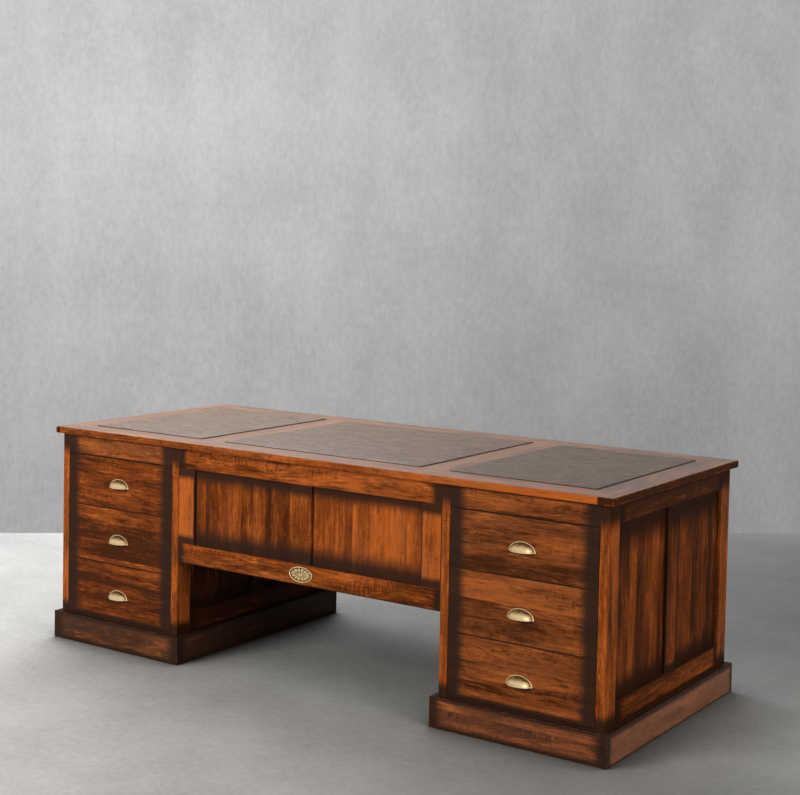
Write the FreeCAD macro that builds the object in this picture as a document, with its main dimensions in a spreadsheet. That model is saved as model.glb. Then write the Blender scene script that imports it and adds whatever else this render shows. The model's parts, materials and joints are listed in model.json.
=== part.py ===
"""Partners desk: two drawer pedestals, a modesty panel between them and a top with three leather insets.

X runs along the desk, Y from front to back and Z up. The origin is on the floor under the middle of
the top. All sizes are millimetres. The driving sizes are the cells of the spreadsheet "sizes"; every
piece takes its own sizes and place from them.
"""

import FreeCAD, Part
import os
import re

import Sketcher

doc = FreeCAD.newDocument("partners_desk")

# ---------------------------------------------------------------------------------------------
# Driving sizes
# ---------------------------------------------------------------------------------------------

SIZES = (
    ("top_length", 2240, "top, along the desk"),
    ("top_depth", 940, "top, front to back"),
    ("top_height", 780, "floor to the upper face of the wooden border"),
    ("top_thickness", 24, "border boards of the top"),
    ("top_overhang", 20, "top past the pedestals, on all four sides"),
    ("top_edge_round", 4, "rounding of the top's outer edges"),
    ("border_width", 103, "border boards and cross bars"),
    ("end_inset_length", 510, "opening of each end inset, along the desk"),
    ("leather_thickness", 6, "leather on its backing board"),
    ("leather_proud", 3, "leather above the border"),
    ("leather_gap", 2, "groove round each inset"),
    ("leather_edge_round", 2, "rolled upper edge of an inset"),
    ("pedestal_width", 562, "pedestal, along the desk"),
    ("side_thickness", 29, "stiles and rails of a pedestal side"),
    ("side_stile_width", 67, "corner stiles of a pedestal side"),
    ("side_muntin_width", 75, "middle upright of a pedestal side"),
    ("side_top_rail", 63, "upper rail of a pedestal side, height"),
    ("side_bottom_rail", 113, "lower rail of a pedestal side, height"),
    ("carcass_lift", 60, "floor to the lower rails and the base board"),
    ("panel_thickness", 8, "loose panels"),
    ("panel_recess", 10, "frame face to panel face"),
    ("groove_depth", 9, "panel grooves and stub tenons"),
    ("panel_play", 1, "room for a panel at the bottom of its groove"),
    ("front_top_rail", 68, "rail above the drawers, height"),
    ("front_bottom_rail", 42, "rail below the drawers, height"),
    ("front_rail_thickness", 22, "rails above and below the drawers"),
    ("divider_thickness", 18, "board between the front and back drawers"),
    ("base_board_thickness", 12, "board closing a pedestal below"),
    ("plinth_height", 98, "plinth boards"),
    ("plinth_thickness", 20, "plinth boards, outside the pedestal"),
    ("plinth_edge_round", 4, "upper outer edge of the plinth"),
    ("drawer_gap", 2.5, "joint round each drawer front"),
    ("drawer_front_thickness", 22, "drawer fronts"),
    ("drawer_front_round", 1.5, "edges of the drawer fronts"),
    ("top_front_height", 180, "front of the upper drawer"),
    ("drawer_side_thickness", 12, "sides and back of a drawer box"),
    ("drawer_side_play", 5, "pedestal side to drawer box"),
    ("drawer_side_drop", 15, "top of a drawer front to the top of its box"),
    ("drawer_back_play", 15, "drawer box to divider"),
    ("drawer_stop_width", 20, "strips on the divider that stop the drawers"),
    ("drawer_stop_play", 0.5, "drawer box to its stop"),
    ("drawer_back_drop", 6, "top of the drawer sides to the top of the back"),
    ("drawer_bottom_thickness", 6, "drawer bottom board"),
    ("drawer_bottom_lift", 8, "lower edge of the sides to the bottom board"),
    ("drawer_bottom_groove", 5, "groove for the bottom board"),
    ("runner_width", 24, "drawer runners, out from the pedestal side"),
    ("runner_height", 16, "drawer runners"),
    ("runner_lift", 4, "lower edge of a drawer front to its runner"),
    ("runner_play", 0.5, "runner to drawer side"),
    ("runner_setback", 3, "drawer front to the end of its runner"),
    ("pull_width", 90, "cup pull, end to end of its rim"),
    ("pull_height", 31, "cup pull, rim"),
    ("pull_depth", 26, "cup pull, out from the drawer front"),
    ("pull_wall", 1.8, "cup pull, shell"),
    ("pull_rim_width", 4, "cup pull, flat rim round the cup"),
    ("pull_rim_thickness", 2, "cup pull, flat rim"),
    ("pull_lip_height", 2.4, "cup pull, thick lip along the mouth"),
    ("pull_lip_proud", 0.8, "cup pull, lip outside the shell"),
    ("pull_lift", 78, "lower edge of a drawer front to its cup pull"),
    ("pull_post_spacing", 64, "cup pull, between the posts for its screws"),
    ("pull_post_height", 9, "cup pull, mouth to the posts"),
    ("pull_post_radius", 3.5, "cup pull, posts"),
    ("pull_post_length", 8, "cup pull, posts out from the drawer front"),
    ("screw_radius", 2, "screws of the cup pulls, shank"),
    ("screw_bite", 6, "screws of the cup pulls, length in the post"),
    ("screw_head_radius", 4, "screws of the cup pulls, head"),
    ("screw_head_height", 2.5, "screws of the cup pulls, head"),
    ("screw_play", 0.2, "room round a screw or a pin in its hole"),
    ("modesty_thickness", 25, "frame of the modesty panel"),
    ("modesty_height", 398, "modesty panel, underside of the top to its lower edge"),
    ("modesty_stile_width", 73, "end uprights of the modesty panel"),
    ("modesty_muntin_width", 75, "middle upright of the modesty panel"),
    ("modesty_rail", 70, "rails of the modesty panel, height"),
    ("badge_width", 94, "oval boss on the modesty panel"),
    ("badge_height", 52, "oval boss on the modesty panel"),
    ("badge_plate", 2, "oval boss, flat of the plate"),
    ("badge_rim_width", 4, "oval boss, raised rim"),
    ("badge_rim_proud", 4, "oval boss, raised rim from the wood"),
    ("badge_crown", 1, "oval boss, swell of its middle past the flat"),
    ("badge_pin_radius", 1.5, "pins behind the oval boss"),
    ("badge_pin_length", 8, "pins behind the oval boss"),
    ("badge_pin_spacing", 60, "pins behind the oval boss"),
    ("cleat_length", 60, "blocks that hold the top down"),
    ("cleat_size", 20, "blocks that hold the top down, width and height"),
)

sheet = doc.addObject("Spreadsheet::Sheet", "sizes")
for row, (alias, value, meaning) in enumerate(SIZES, start=1):
    sheet.set(f"A{row}", meaning)
    sheet.set(f"B{row}", str(value))
    sheet.setAlias(f"B{row}", alias)
doc.recompute()

# ---------------------------------------------------------------------------------------------
# Derived sizes, as expressions on the sheet
# ---------------------------------------------------------------------------------------------

BODY_X = "(top_length / 2 - top_overhang)"
BODY_Y = "(top_depth / 2 - top_overhang)"
BODY_DEPTH = f"(2 * {BODY_Y})"
UNDER_TOP = "(top_height - top_thickness)"
KNEEHOLE_X = f"({BODY_X} - pedestal_width)"
PEDESTAL_X = f"({BODY_X} - pedestal_width / 2)"
INNER_WIDTH = "(pedestal_width - 2 * side_thickness)"

OPENING_LOW = "(carcass_lift + front_bottom_rail)"
OPENING_HIGH = f"({UNDER_TOP} - front_top_rail)"
LOWER_FRONT = f"(({OPENING_HIGH} - {OPENING_LOW} - 4 * drawer_gap - top_front_height) / 2)"
FRONT_HEIGHT = {"top": "top_front_height", "middle": LOWER_FRONT, "bottom": LOWER_FRONT}
FRONT_LOW = {
    "bottom": f"({OPENING_LOW} + drawer_gap)",
    "middle": f"({OPENING_LOW} + 2 * drawer_gap + {LOWER_FRONT})",
    "top": f"({OPENING_HIGH} - drawer_gap - top_front_height)",
}
BANK_DEPTH = f"({BODY_Y} - divider_thickness / 2)"
BOX_LENGTH = f"({BANK_DEPTH} - drawer_front_thickness - drawer_back_play)"
BOX_HALF = f"({INNER_WIDTH} / 2 - drawer_side_play)"
BOX_LOW = "(runner_lift + runner_height + runner_play)"

INSET_DEPTH = "(top_depth - 2 * border_width)"
CENTRE_INSET = "(top_length - 4 * border_width - 2 * end_inset_length)"
CORE_THICKNESS = "(top_thickness + leather_proud - leather_thickness)"
PANEL_TONGUE = "(groove_depth - panel_play)"
BADGE_HEIGHT = f"({UNDER_TOP} - modesty_height + modesty_rail / 2)"

# ---------------------------------------------------------------------------------------------
# Building blocks
# ---------------------------------------------------------------------------------------------

ALIASES = {alias for alias, _, _ in SIZES}
NODES = []


def on_sheet(text):
    """Turn the plain words of an expression into references to the sheet's cells."""
    return re.sub(r"[a-z_]+", lambda m: f"<<sizes>>.{m[0]}" if m[0] in ALIASES else m[0], str(text))


def value_of(text):
    """The number that an expression on the sheet has now."""
    numbers = {alias: float(sheet.get(alias)) for alias in ALIASES}
    product = re.sub(r"[a-z_]+", lambda m: repr(numbers[m[0]]), str(text))
    return FreeCAD.Units.Quantity(product).Value


def bind(piece, **properties):
    """Bind properties of a document object to expressions on the sheet."""
    for name, text in properties.items():
        piece.setExpression(name, on_sheet(text))
    return piece


def place(piece, x=0, y=0, z=0, turn=0):
    """Put a piece at x, y, z, turned about Z by a number of degrees."""
    piece.Placement = FreeCAD.Placement(
        FreeCAD.Vector(), FreeCAD.Rotation(FreeCAD.Vector(0, 0, 1), turn)
    )
    for axis, text in (("x", x), ("y", y), ("z", z)):
        piece.setExpression(f"Placement.Base.{axis}", on_sheet(text))
    return piece


def board(name, x, y, z, dx, dy, dz):
    """A straight board with its low corner at x, y, z."""
    piece = doc.addObject("Part::Box", name)
    return place(bind(piece, Length=dx, Width=dy, Height=dz), x, y, z)


def cut(name, base, *tools):
    """The base with every tool taken away."""
    for number, tool in enumerate(tools):
        piece = doc.addObject("Part::Cut", f"{name}_cut_{number}")
        piece.Base, piece.Tool = base, tool
        base = piece
    return base


def join(name, *pieces):
    """One solid made of several."""
    piece = doc.addObject("Part::MultiFuse", name)
    piece.Shapes = list(pieces)
    piece.Refine = True
    return piece


def overlap(name, first, second):
    """What two solids share."""
    piece = doc.addObject("Part::Common", name)
    piece.Base, piece.Tool = first, second
    return piece


def group(name, pieces, **where):
    """Separate solids that share one place."""
    piece = doc.addObject("Part::Compound", name)
    piece.Links = list(pieces)
    return place(piece, **where)


def node(piece, label):
    """Hand the piece over as a sub-part of its own."""
    piece.Label = label
    NODES.append(piece)
    return piece


def footprint(body, corners):
    """A sketch on the floor plane of a body: straight lines through corners given as expressions."""
    plane = next(f for f in body.Origin.OriginFeatures if f.Role == "XY_Plane")
    sketch = body.newObject("Sketcher::SketchObject", f"{body.Name}_outline")
    sketch.AttachmentSupport = [(plane, "")]
    sketch.MapMode = "FlatFace"
    points = [FreeCAD.Vector(value_of(x), value_of(y), 0) for x, y in corners]
    count = len(points)
    for i in range(count):
        sketch.addGeometry(Part.LineSegment(points[i], points[(i + 1) % count]))
    for i, (x, y) in enumerate(corners):
        sketch.addConstraint(Sketcher.Constraint("Coincident", i, 1, (i - 1) % count, 2))
        for kind, text, number in (("DistanceX", x, points[i].x), ("DistanceY", y, points[i].y)):
            constraint = sketch.addConstraint(Sketcher.Constraint(kind, -1, 1, i, 1, number))
            sketch.setExpression(f"Constraints[{constraint}]", on_sheet(text))
    return sketch


def rounded(body, base, radius, chosen):
    """Round the edges of the base feature that the test picks out."""
    doc.recompute()
    names = [f"Edge{i}" for i, edge in enumerate(base.Shape.Edges, start=1) if chosen(edge)]
    fillet = body.newObject("PartDesign::Fillet", f"{body.Name}_round")
    fillet.Base = (base, names)
    return bind(fillet, Radius=radius)


def padded(name, corners, height, radius, chosen):
    """A body raised from a footprint, with some edges rounded."""
    body = doc.addObject("PartDesign::Body", name)
    pad = body.newObject("PartDesign::Pad", f"{name}_pad")
    pad.Profile = footprint(body, corners)
    bind(pad, Length=height)
    rounded(body, pad, radius, chosen)
    return body


def level(edge, height):
    """Whether an edge lies flat at a height."""
    return all(abs(vertex.Z - height) < 1e-6 for vertex in edge.Vertexes)


def on_face(edge):
    """Whether an edge lies on the body's own front face, the plane Y = 0."""
    return all(abs(vertex.Y) < 1e-6 for vertex in edge.Vertexes)


def mitred_board(name, length, width, height, radius, both_edges):
    """A board mitred at both ends, its long side on Y = 0, with the long upper edge rounded."""
    rise = value_of(height)

    def chosen(edge):
        return on_face(edge) and (level(edge, rise) or (both_edges and level(edge, 0)))

    half = f"({length} / 2)"
    corners = (
        (f"-{half}", "0"),
        (half, "0"),
        (f"{half} - {width}", width),
        (f"{width} - {half}", width),
    )
    return padded(name, corners, height, radius, chosen)


def mitred_ring(name, half_x, half_y, width, height, radius, both_edges):
    """Four mitred boards round a rectangle, seen from above, with the outside at half_x and half_y."""
    sides = (
        ("front", f"2 * {half_x}", "0", f"-{half_y}", 0),
        ("right", f"2 * {half_y}", half_x, "0", 90),
        ("back", f"2 * {half_x}", "0", half_y, 180),
        ("left", f"2 * {half_y}", f"-{half_x}", "0", 270),
    )
    ring = []
    for side, length, x, y, turn in sides:
        piece = mitred_board(f"{name}_{side}", length, width, height, radius, both_edges)
        ring.append(place(piece, x, y, 0, turn))
    return ring


def ellipsoid(name, half_x, half_y, half_z):
    """A whole ellipsoid round the origin."""
    piece = doc.addObject("Part::Ellipsoid", name)
    piece.Angle1, piece.Angle2, piece.Angle3 = -90, 90, 360
    return bind(piece, Radius1=half_z, Radius2=half_x, Radius3=half_y)


def rod(name, x, y, z, radius, length):
    """A round rod that runs back from x, y, z along Y."""
    piece = doc.addObject("Part::Cylinder", name)
    bind(piece, Radius=radius, Height=length)
    place(piece, x, y, z)
    piece.Placement.Rotation = FreeCAD.Rotation(FreeCAD.Vector(1, 0, 0), -90)
    return piece


def pair_of_rods(name, spacing, y, z, radius, length):
    """Two equal rods, one on each side of the middle."""
    return [
        rod(f"{name}_{side}", f"{sign} {spacing} / 2", y, z, radius, length)
        for side, sign in (("a", "-"), ("b", ""))
    ]


def oval_plate(name, half_x, half_z, low_y, thickness):
    """A flat plate with an oval outline in the XZ plane, from low_y back to low_y + thickness."""
    oval = doc.addObject("Part::Ellipse", f"{name}_outline")
    bind(oval, MajorRadius=half_x, MinorRadius=half_z)
    plate = doc.addObject("Part::Extrusion", name)
    plate.Base, plate.DirMode, plate.Dir = oval, "Custom", FreeCAD.Vector(0, 0, 1)
    plate.Solid = True
    bind(plate, LengthFwd=thickness)
    plate.Placement.Rotation = FreeCAD.Rotation(FreeCAD.Vector(1, 0, 0), -90)
    plate.setExpression("Placement.Base.y", on_sheet(low_y))
    return plate


# ---------------------------------------------------------------------------------------------
# Framed panels: the pedestal sides and the modesty panel
# ---------------------------------------------------------------------------------------------


def framed_panel(name, width, thickness, stile, muntin, rail_low, rail_low_top, rail_high, stile_low=None):
    """Two loose panels in a frame of stiles, rails and a muntin, joined by grooves and stub tenons.

    X runs along the frame, Y = 0 is its show face and Z is measured from the floor. The rails are
    rail_low..rail_low_top and rail_high..the underside of the top. The stiles run past the rails, down
    to stile_low, or stand between the rails where no stile_low is given.
    Returns the boards of the frame, the lower rail first, and the two panels.
    """
    stiles_run_past = stile_low is not None
    muntin_low = f"(({width} - {muntin}) / 2)"
    field_low, field_rise = rail_low_top, f"({rail_high} - {rail_low_top})"

    def groove(label, x, z, dx, dz):
        return board(f"{name}_{label}", x, "panel_recess", z, dx, "panel_thickness", dz)

    def long_stile(side, x, groove_x):
        plain = board(f"{name}_stile_{side}", x, 0, stile_low, stile, thickness, f"{UNDER_TOP} - {stile_low}")
        slot = groove(f"stile_{side}_groove", groove_x, rail_low, "groove_depth", f"{UNDER_TOP} - {rail_low}")
        return cut(f"{name}_stile_{side}", plain, slot)

    def short_upright(label, x, wide, groove_a, groove_b):
        """An upright between the rails, tenoned into them, with a groove on each side that holds a panel."""
        plain = board(f"{name}_{label}", x, 0, field_low, wide, thickness, field_rise)
        slots = [
            groove(f"{label}_groove_{side}", slot_x, field_low, "groove_depth", field_rise)
            for side, slot_x, there in (("a", x, groove_a), ("b", f"{x} + {wide} - groove_depth", groove_b))
            if there
        ]
        tenon_x = f"{x} + groove_depth" if groove_a else x
        tenon_width = f"{wide} - {len(slots)} * groove_depth"
        tenons = [
            groove(f"{label}_tenon_{end}", tenon_x, z, tenon_width, "groove_depth")
            for end, z in (("low", f"{field_low} - groove_depth"), ("high", rail_high))
        ]
        return join(f"{name}_{label}_board", cut(f"{name}_{label}", plain, *slots), *tenons)

    def long_rail(side, low, rise, groove_z):
        plain = board(f"{name}_rail_{side}", 0, 0, low, width, thickness, rise)
        slot = groove(f"rail_{side}_groove", 0, groove_z, width, "groove_depth")
        return cut(f"{name}_rail_{side}", plain, slot)

    def short_rail(side, low, rise, groove_z, tenon_z):
        inside = f"({width} - 2 * {stile})"
        plain = board(f"{name}_rail_{side}", stile, 0, low, inside, thickness, rise)
        slot = groove(f"rail_{side}_groove", stile, groove_z, inside, "groove_depth")
        slotted = cut(f"{name}_rail_{side}", plain, slot)
        tenons = [
            groove(f"rail_{side}_tenon_{end}", x, tenon_z, "groove_depth", f"{rise} - groove_depth")
            for end, x in (("a", f"{stile} - groove_depth"), ("b", f"{width} - {stile}"))
        ]
        return join(f"{name}_rail_{side}_board", slotted, *tenons)

    def panel(side, x):
        return board(
            f"{name}_panel_{side}",
            f"{x} - {PANEL_TONGUE}",
            "panel_recess",
            f"{field_low} - {PANEL_TONGUE}",
            f"{muntin_low} - {stile} + 2 * {PANEL_TONGUE}",
            "panel_thickness",
            f"{field_rise} + 2 * {PANEL_TONGUE}",
        )

    low_rise, high_rise = f"({rail_low_top} - {rail_low})", f"({UNDER_TOP} - {rail_high})"
    low_groove = f"{rail_low_top} - groove_depth"
    far_stile_x = f"{width} - {stile}"
    if stiles_run_past:
        frame = [
            short_rail("low", rail_low, low_rise, low_groove, rail_low),
            short_rail("high", rail_high, high_rise, rail_high, f"{rail_high} + groove_depth"),
            long_stile("a", "0", f"{stile} - groove_depth"),
            long_stile("b", far_stile_x, far_stile_x),
        ]
    else:
        frame = [
            long_rail("low", rail_low, low_rise, low_groove),
            long_rail("high", rail_high, high_rise, rail_high),
            short_upright("stile_a", "0", stile, False, True),
            short_upright("stile_b", far_stile_x, stile, True, False),
        ]
    frame.append(short_upright("muntin", muntin_low, muntin, True, True))
    return frame, [panel("a", stile), panel("b", f"{muntin_low} + {muntin}")]


def pedestal_sides():
    """The outer and inner framed side of each pedestal, with the panels of a pedestal together."""
    frame, panels = framed_panel(
        "side",
        BODY_DEPTH,
        "side_thickness",
        "side_stile_width",
        "side_muntin_width",
        "carcass_lift",
        "(carcass_lift + side_bottom_rail)",
        f"({UNDER_TOP} - side_top_rail)",
        stile_low="0",
    )
    facing_right = dict(y=f"-{BODY_Y}", turn=90)
    facing_left = dict(y=BODY_Y, turn=270)
    for pedestal, faces in (
        ("left", (("outer", f"-{BODY_X}", facing_left), ("inner", f"-{KNEEHOLE_X}", facing_right))),
        ("right", (("outer", BODY_X, facing_right), ("inner", KNEEHOLE_X, facing_left))),
    ):
        fields = []
        for face, x, where in faces:
            node(group(f"{pedestal}_{face}_side", frame, x=x, **where), f"{pedestal}_{face}_side_frame")
            fields.append(group(f"{pedestal}_{face}_fields", panels, x=x, **where))
        node(group(f"{pedestal}_fields", fields), f"{pedestal}_side_panels")


def modesty_panel():
    """The framed panel between the pedestals, flush with their front."""
    frame, panels = framed_panel(
        "modesty",
        f"(2 * {KNEEHOLE_X})",
        "modesty_thickness",
        "modesty_stile_width",
        "modesty_muntin_width",
        f"({UNDER_TOP} - modesty_height)",
        f"({UNDER_TOP} - modesty_height + modesty_rail)",
        f"({UNDER_TOP} - modesty_rail)",
    )
    holes = badge_pins("badge_hole", "badge_pin_radius + screw_play", "badge_pin_length + screw_play")
    sockets = group("badge_holes", holes, x=KNEEHOLE_X, z=BADGE_HEIGHT)
    low_rail = cut("modesty_rail_drilled", frame[0], sockets)
    frame = [low_rail] + frame[1:]
    where = dict(x=f"-{KNEEHOLE_X}", y=f"-{BODY_Y}")
    node(group("modesty_boards", frame, **where), "modesty_frame")
    node(group("modesty_fields", panels, **where), "modesty_panels")


# ---------------------------------------------------------------------------------------------
# The rest of the pedestals
# ---------------------------------------------------------------------------------------------


def pedestal_rails(pedestal, centre):
    """Rails above and below the drawers, at the front and the back."""
    rails = []
    x = f"{centre} - {INNER_WIDTH} / 2"
    for face, y in (("front", f"-{BODY_Y}"), ("back", f"{BODY_Y} - front_rail_thickness")):
        for place_, z, rise in (
            ("high", OPENING_HIGH, "front_top_rail"),
            ("low", "carcass_lift", "front_bottom_rail"),
        ):
            name = f"{pedestal}_{face}_rail_{place_}"
            rails.append(board(name, x, y, z, INNER_WIDTH, "front_rail_thickness", rise))
    node(group(f"{pedestal}_rails", rails), f"{pedestal}_drawer_rails")


def drawer_runners(pedestal, centre):
    """Two runners for each drawer, fixed to the pedestal sides."""
    runners = []
    start = "drawer_front_thickness + runner_setback"
    length = f"{BANK_DEPTH} - ({start})"
    inner = f"({INNER_WIDTH} / 2)"
    for drawer, low in FRONT_LOW.items():
        for face, y in (("front", f"{start} - {BODY_Y}"), ("back", "divider_thickness / 2")):
            for side, x in (("a", f"-{inner}"), ("b", f"{inner} - runner_width")):
                name = f"{pedestal}_{face}_{drawer}_runner_{side}"
                low_z = f"{low} + runner_lift"
                strip = board(name, f"{centre} + {x}", y, low_z, "runner_width", length, "runner_height")
                runners.append(strip)
    node(group(f"{pedestal}_runners", runners), f"{pedestal}_drawer_runners")


def plinth(pedestal, centre):
    """Four mitred boards round the foot of a pedestal."""
    half_x = "(pedestal_width / 2 + plinth_thickness)"
    half_y = f"({BODY_Y} + plinth_thickness)"
    ring = mitred_ring(
        f"{pedestal}_plinth", half_x, half_y, "plinth_thickness", "plinth_height", "plinth_edge_round", False
    )
    node(group(f"{pedestal}_plinth_ring", ring, x=centre), f"{pedestal}_plinth")


def shared_boards(centres):
    """The divider with its drawer stops, and the base board, of each pedestal."""
    dividers, bases = [], []
    for pedestal, centre in centres:
        x = f"{centre} - {INNER_WIDTH} / 2"
        low = "carcass_lift + base_board_thickness"
        between_rails = f"(2 * ({BODY_Y} - front_rail_thickness))"
        dividers.append(
            board(
                f"{pedestal}_divider", x, "-divider_thickness / 2", low,
                INNER_WIDTH, "divider_thickness", f"{UNDER_TOP} - ({low})",
            )
        )
        stop_thickness = "(drawer_back_play - drawer_stop_play)"
        front_stop_y = f"-(divider_thickness / 2 + {stop_thickness})"
        for face, y in (("front", front_stop_y), ("back", "divider_thickness / 2")):
            dividers.append(
                board(
                    f"{pedestal}_{face}_stop", f"{centre} - drawer_stop_width / 2", y, low,
                    "drawer_stop_width", stop_thickness, f"{OPENING_HIGH} - ({low})",
                )
            )
        bases.append(
            board(
                f"{pedestal}_base", x, f"-{between_rails} / 2", "carcass_lift",
                INNER_WIDTH, between_rails, "base_board_thickness",
            )
        )
    node(group("dividers", dividers), "drawer_dividers")
    node(group("bases", bases), "base_boards")


def fixings_under_top(centres):
    """The rail across the back of the kneehole, and the blocks that hold the top down."""
    rail = board(
        "kneehole_rail", f"-{KNEEHOLE_X}", f"{BODY_Y} - front_rail_thickness", OPENING_HIGH,
        f"2 * {KNEEHOLE_X}", "front_rail_thickness", "front_top_rail",
    )
    node(rail, "kneehole_back_rail")
    blocks = []
    quarter = f"({BODY_Y} / 2)"
    for pedestal, centre in centres:
        for side, x in (("a", f"-{INNER_WIDTH} / 2"), ("b", f"{INNER_WIDTH} / 2 - cleat_size")):
            for face, y in (("front", f"-{quarter}"), ("back", quarter)):
                blocks.append(
                    board(
                        f"{pedestal}_{face}_cleat_{side}", f"{centre} + {x}", f"{y} - cleat_length / 2",
                        f"{UNDER_TOP} - cleat_size", "cleat_size", "cleat_length", "cleat_size",
                    )
                )
    node(group("cleats", blocks), "top_fixing_blocks")


# ---------------------------------------------------------------------------------------------
# Drawers
# ---------------------------------------------------------------------------------------------


def drawer_front(name, height):
    """A plain front, its show face on Y = 0 and its lower edge on Z = 0, drilled for its pull."""
    half = f"({INNER_WIDTH} / 2 - drawer_gap)"
    thickness = "drawer_front_thickness"
    corners = ((f"-{half}", "0"), (half, "0"), (half, thickness), (f"-{half}", thickness))
    plain = padded(f"{name}_plain", corners, height, "drawer_front_round", on_face)
    holes = pair_of_rods(
        f"{name}_hole", "pull_post_spacing", 0, "pull_lift + pull_post_height",
        "screw_radius + screw_play", thickness,
    )
    return cut(name, plain, *holes)


def drawer_box(name, height):
    """Sides, back and bottom behind a front of the given height, in the front's own frame."""
    side, groove = "drawer_side_thickness", "drawer_bottom_groove"
    front, rise = "drawer_front_thickness", f"({height} - drawer_side_drop - {BOX_LOW})"
    bottom_low = f"({BOX_LOW} + drawer_bottom_lift)"
    inside = f"({BOX_HALF} - {side})"
    bottom_half = f"({inside} + {groove})"
    back_low = f"({bottom_low} + drawer_bottom_thickness)"
    pieces = []
    for label, x, groove_x in (("a", f"-{BOX_HALF}", f"-{bottom_half}"), ("b", inside, inside)):
        plain = board(f"{name}_side_{label}", x, front, BOX_LOW, side, BOX_LENGTH, rise)
        slot = board(
            f"{name}_groove_{label}", groove_x, front, bottom_low,
            groove, BOX_LENGTH, "drawer_bottom_thickness",
        )
        pieces.append(cut(f"{name}_side_{label}", plain, slot))
    pieces.append(
        board(
            f"{name}_back", f"-{inside}", f"{front} + {BOX_LENGTH} - {side}", back_low,
            f"2 * {inside}", side, f"{BOX_LOW} + {rise} - drawer_back_drop - {back_low}",
        )
    )
    pieces.append(
        board(
            f"{name}_bottom", f"-{bottom_half}", front, bottom_low,
            f"2 * {bottom_half}", BOX_LENGTH, "drawer_bottom_thickness",
        )
    )
    return pieces


def cup_pull():
    """A quarter-dome cup with a flat rim, a thick lip along its open underside and two screw posts."""
    cup_x = "(pull_width / 2 - pull_rim_width)"
    cup_z = "(pull_height - pull_rim_width)"
    reach = "(2 * pull_width)"

    def quarter(name, low_y, rise):
        """The room in front of the drawer front and above the mouth."""
        return board(name, f"-{reach} / 2", low_y, 0, reach, f"-({low_y})", rise)

    def dome(name, grow):
        size = [f"{half} + {grow}" for half in (cup_x, "pull_depth", cup_z)]
        return ellipsoid(name, *size)

    def posts(name, radius, length):
        return pair_of_rods(name, "pull_post_spacing", f"-{length}", "pull_post_height", radius, length)

    cup = overlap("pull_cup", dome("pull_dome", "0"), quarter("pull_room", f"-{reach}", reach))
    lip_room = quarter("pull_lip_room", f"-{reach}", "pull_lip_height")
    lip = overlap("pull_lip", dome("pull_lip_dome", "pull_lip_proud"), lip_room)
    rim_plate = oval_plate(
        "pull_rim_oval", "(pull_width / 2)", "pull_height", "-pull_rim_thickness", "pull_rim_thickness"
    )
    rim = overlap("pull_rim", rim_plate, quarter("pull_rim_room", "-pull_rim_thickness", reach))
    shell = cut("pull_shell", join("pull_solid", cup, lip, rim), dome("pull_hollow", "(-pull_wall)"))
    ends = [
        overlap(f"pull_post_end_{number}", post, dome(f"pull_post_room_{number}", "0"))
        for number, post in enumerate(posts("pull_post", "pull_post_radius", "pull_post_length"))
    ]
    holes = posts("pull_post_hole", "screw_radius + screw_play", "(screw_bite + screw_play)")
    return cut("pull", join("pull_with_posts", shell, *ends), *holes)


def pull_screws():
    """The two screws that hold a cup pull from inside the drawer."""
    height = "pull_post_height"
    shank_length = "screw_bite + drawer_front_thickness"
    shanks = pair_of_rods(
        "screw_shank", "pull_post_spacing", "-screw_bite", height,
        "screw_radius", shank_length,
    )
    heads = pair_of_rods(
        "screw_head", "pull_post_spacing", "drawer_front_thickness", height,
        "screw_head_radius", "screw_head_height",
    )
    return [join(f"screw_{number}", *pair) for number, pair in enumerate(zip(shanks, heads))]


def drawers(centres):
    """Three drawers in each of the four banks: every drawer is a front, a box and a cup pull."""
    fronts = {name: drawer_front(f"{name}_front", height) for name, height in FRONT_HEIGHT.items()}
    boxes = {name: drawer_box(f"{name}_box", height) for name, height in FRONT_HEIGHT.items()}
    pull = [cup_pull()] + pull_screws()
    for pedestal, centre in centres:
        for face, y, turn in (("front", f"-{BODY_Y}", 0), ("back", BODY_Y, 180)):
            for drawer, low in FRONT_LOW.items():
                name = f"{face}_{pedestal}_{drawer}_drawer"
                where = dict(x=centre, y=y, turn=turn)
                for label, pieces, z in (
                    ("front", [fronts[drawer]], low),
                    ("box", boxes[drawer], low),
                    ("pull", pull, f"{low} + pull_lift"),
                ):
                    node(group(f"{name}_{label}_group", pieces, z=z, **where), f"{name}_{label}")


# ---------------------------------------------------------------------------------------------
# Top and badge
# ---------------------------------------------------------------------------------------------


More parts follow.
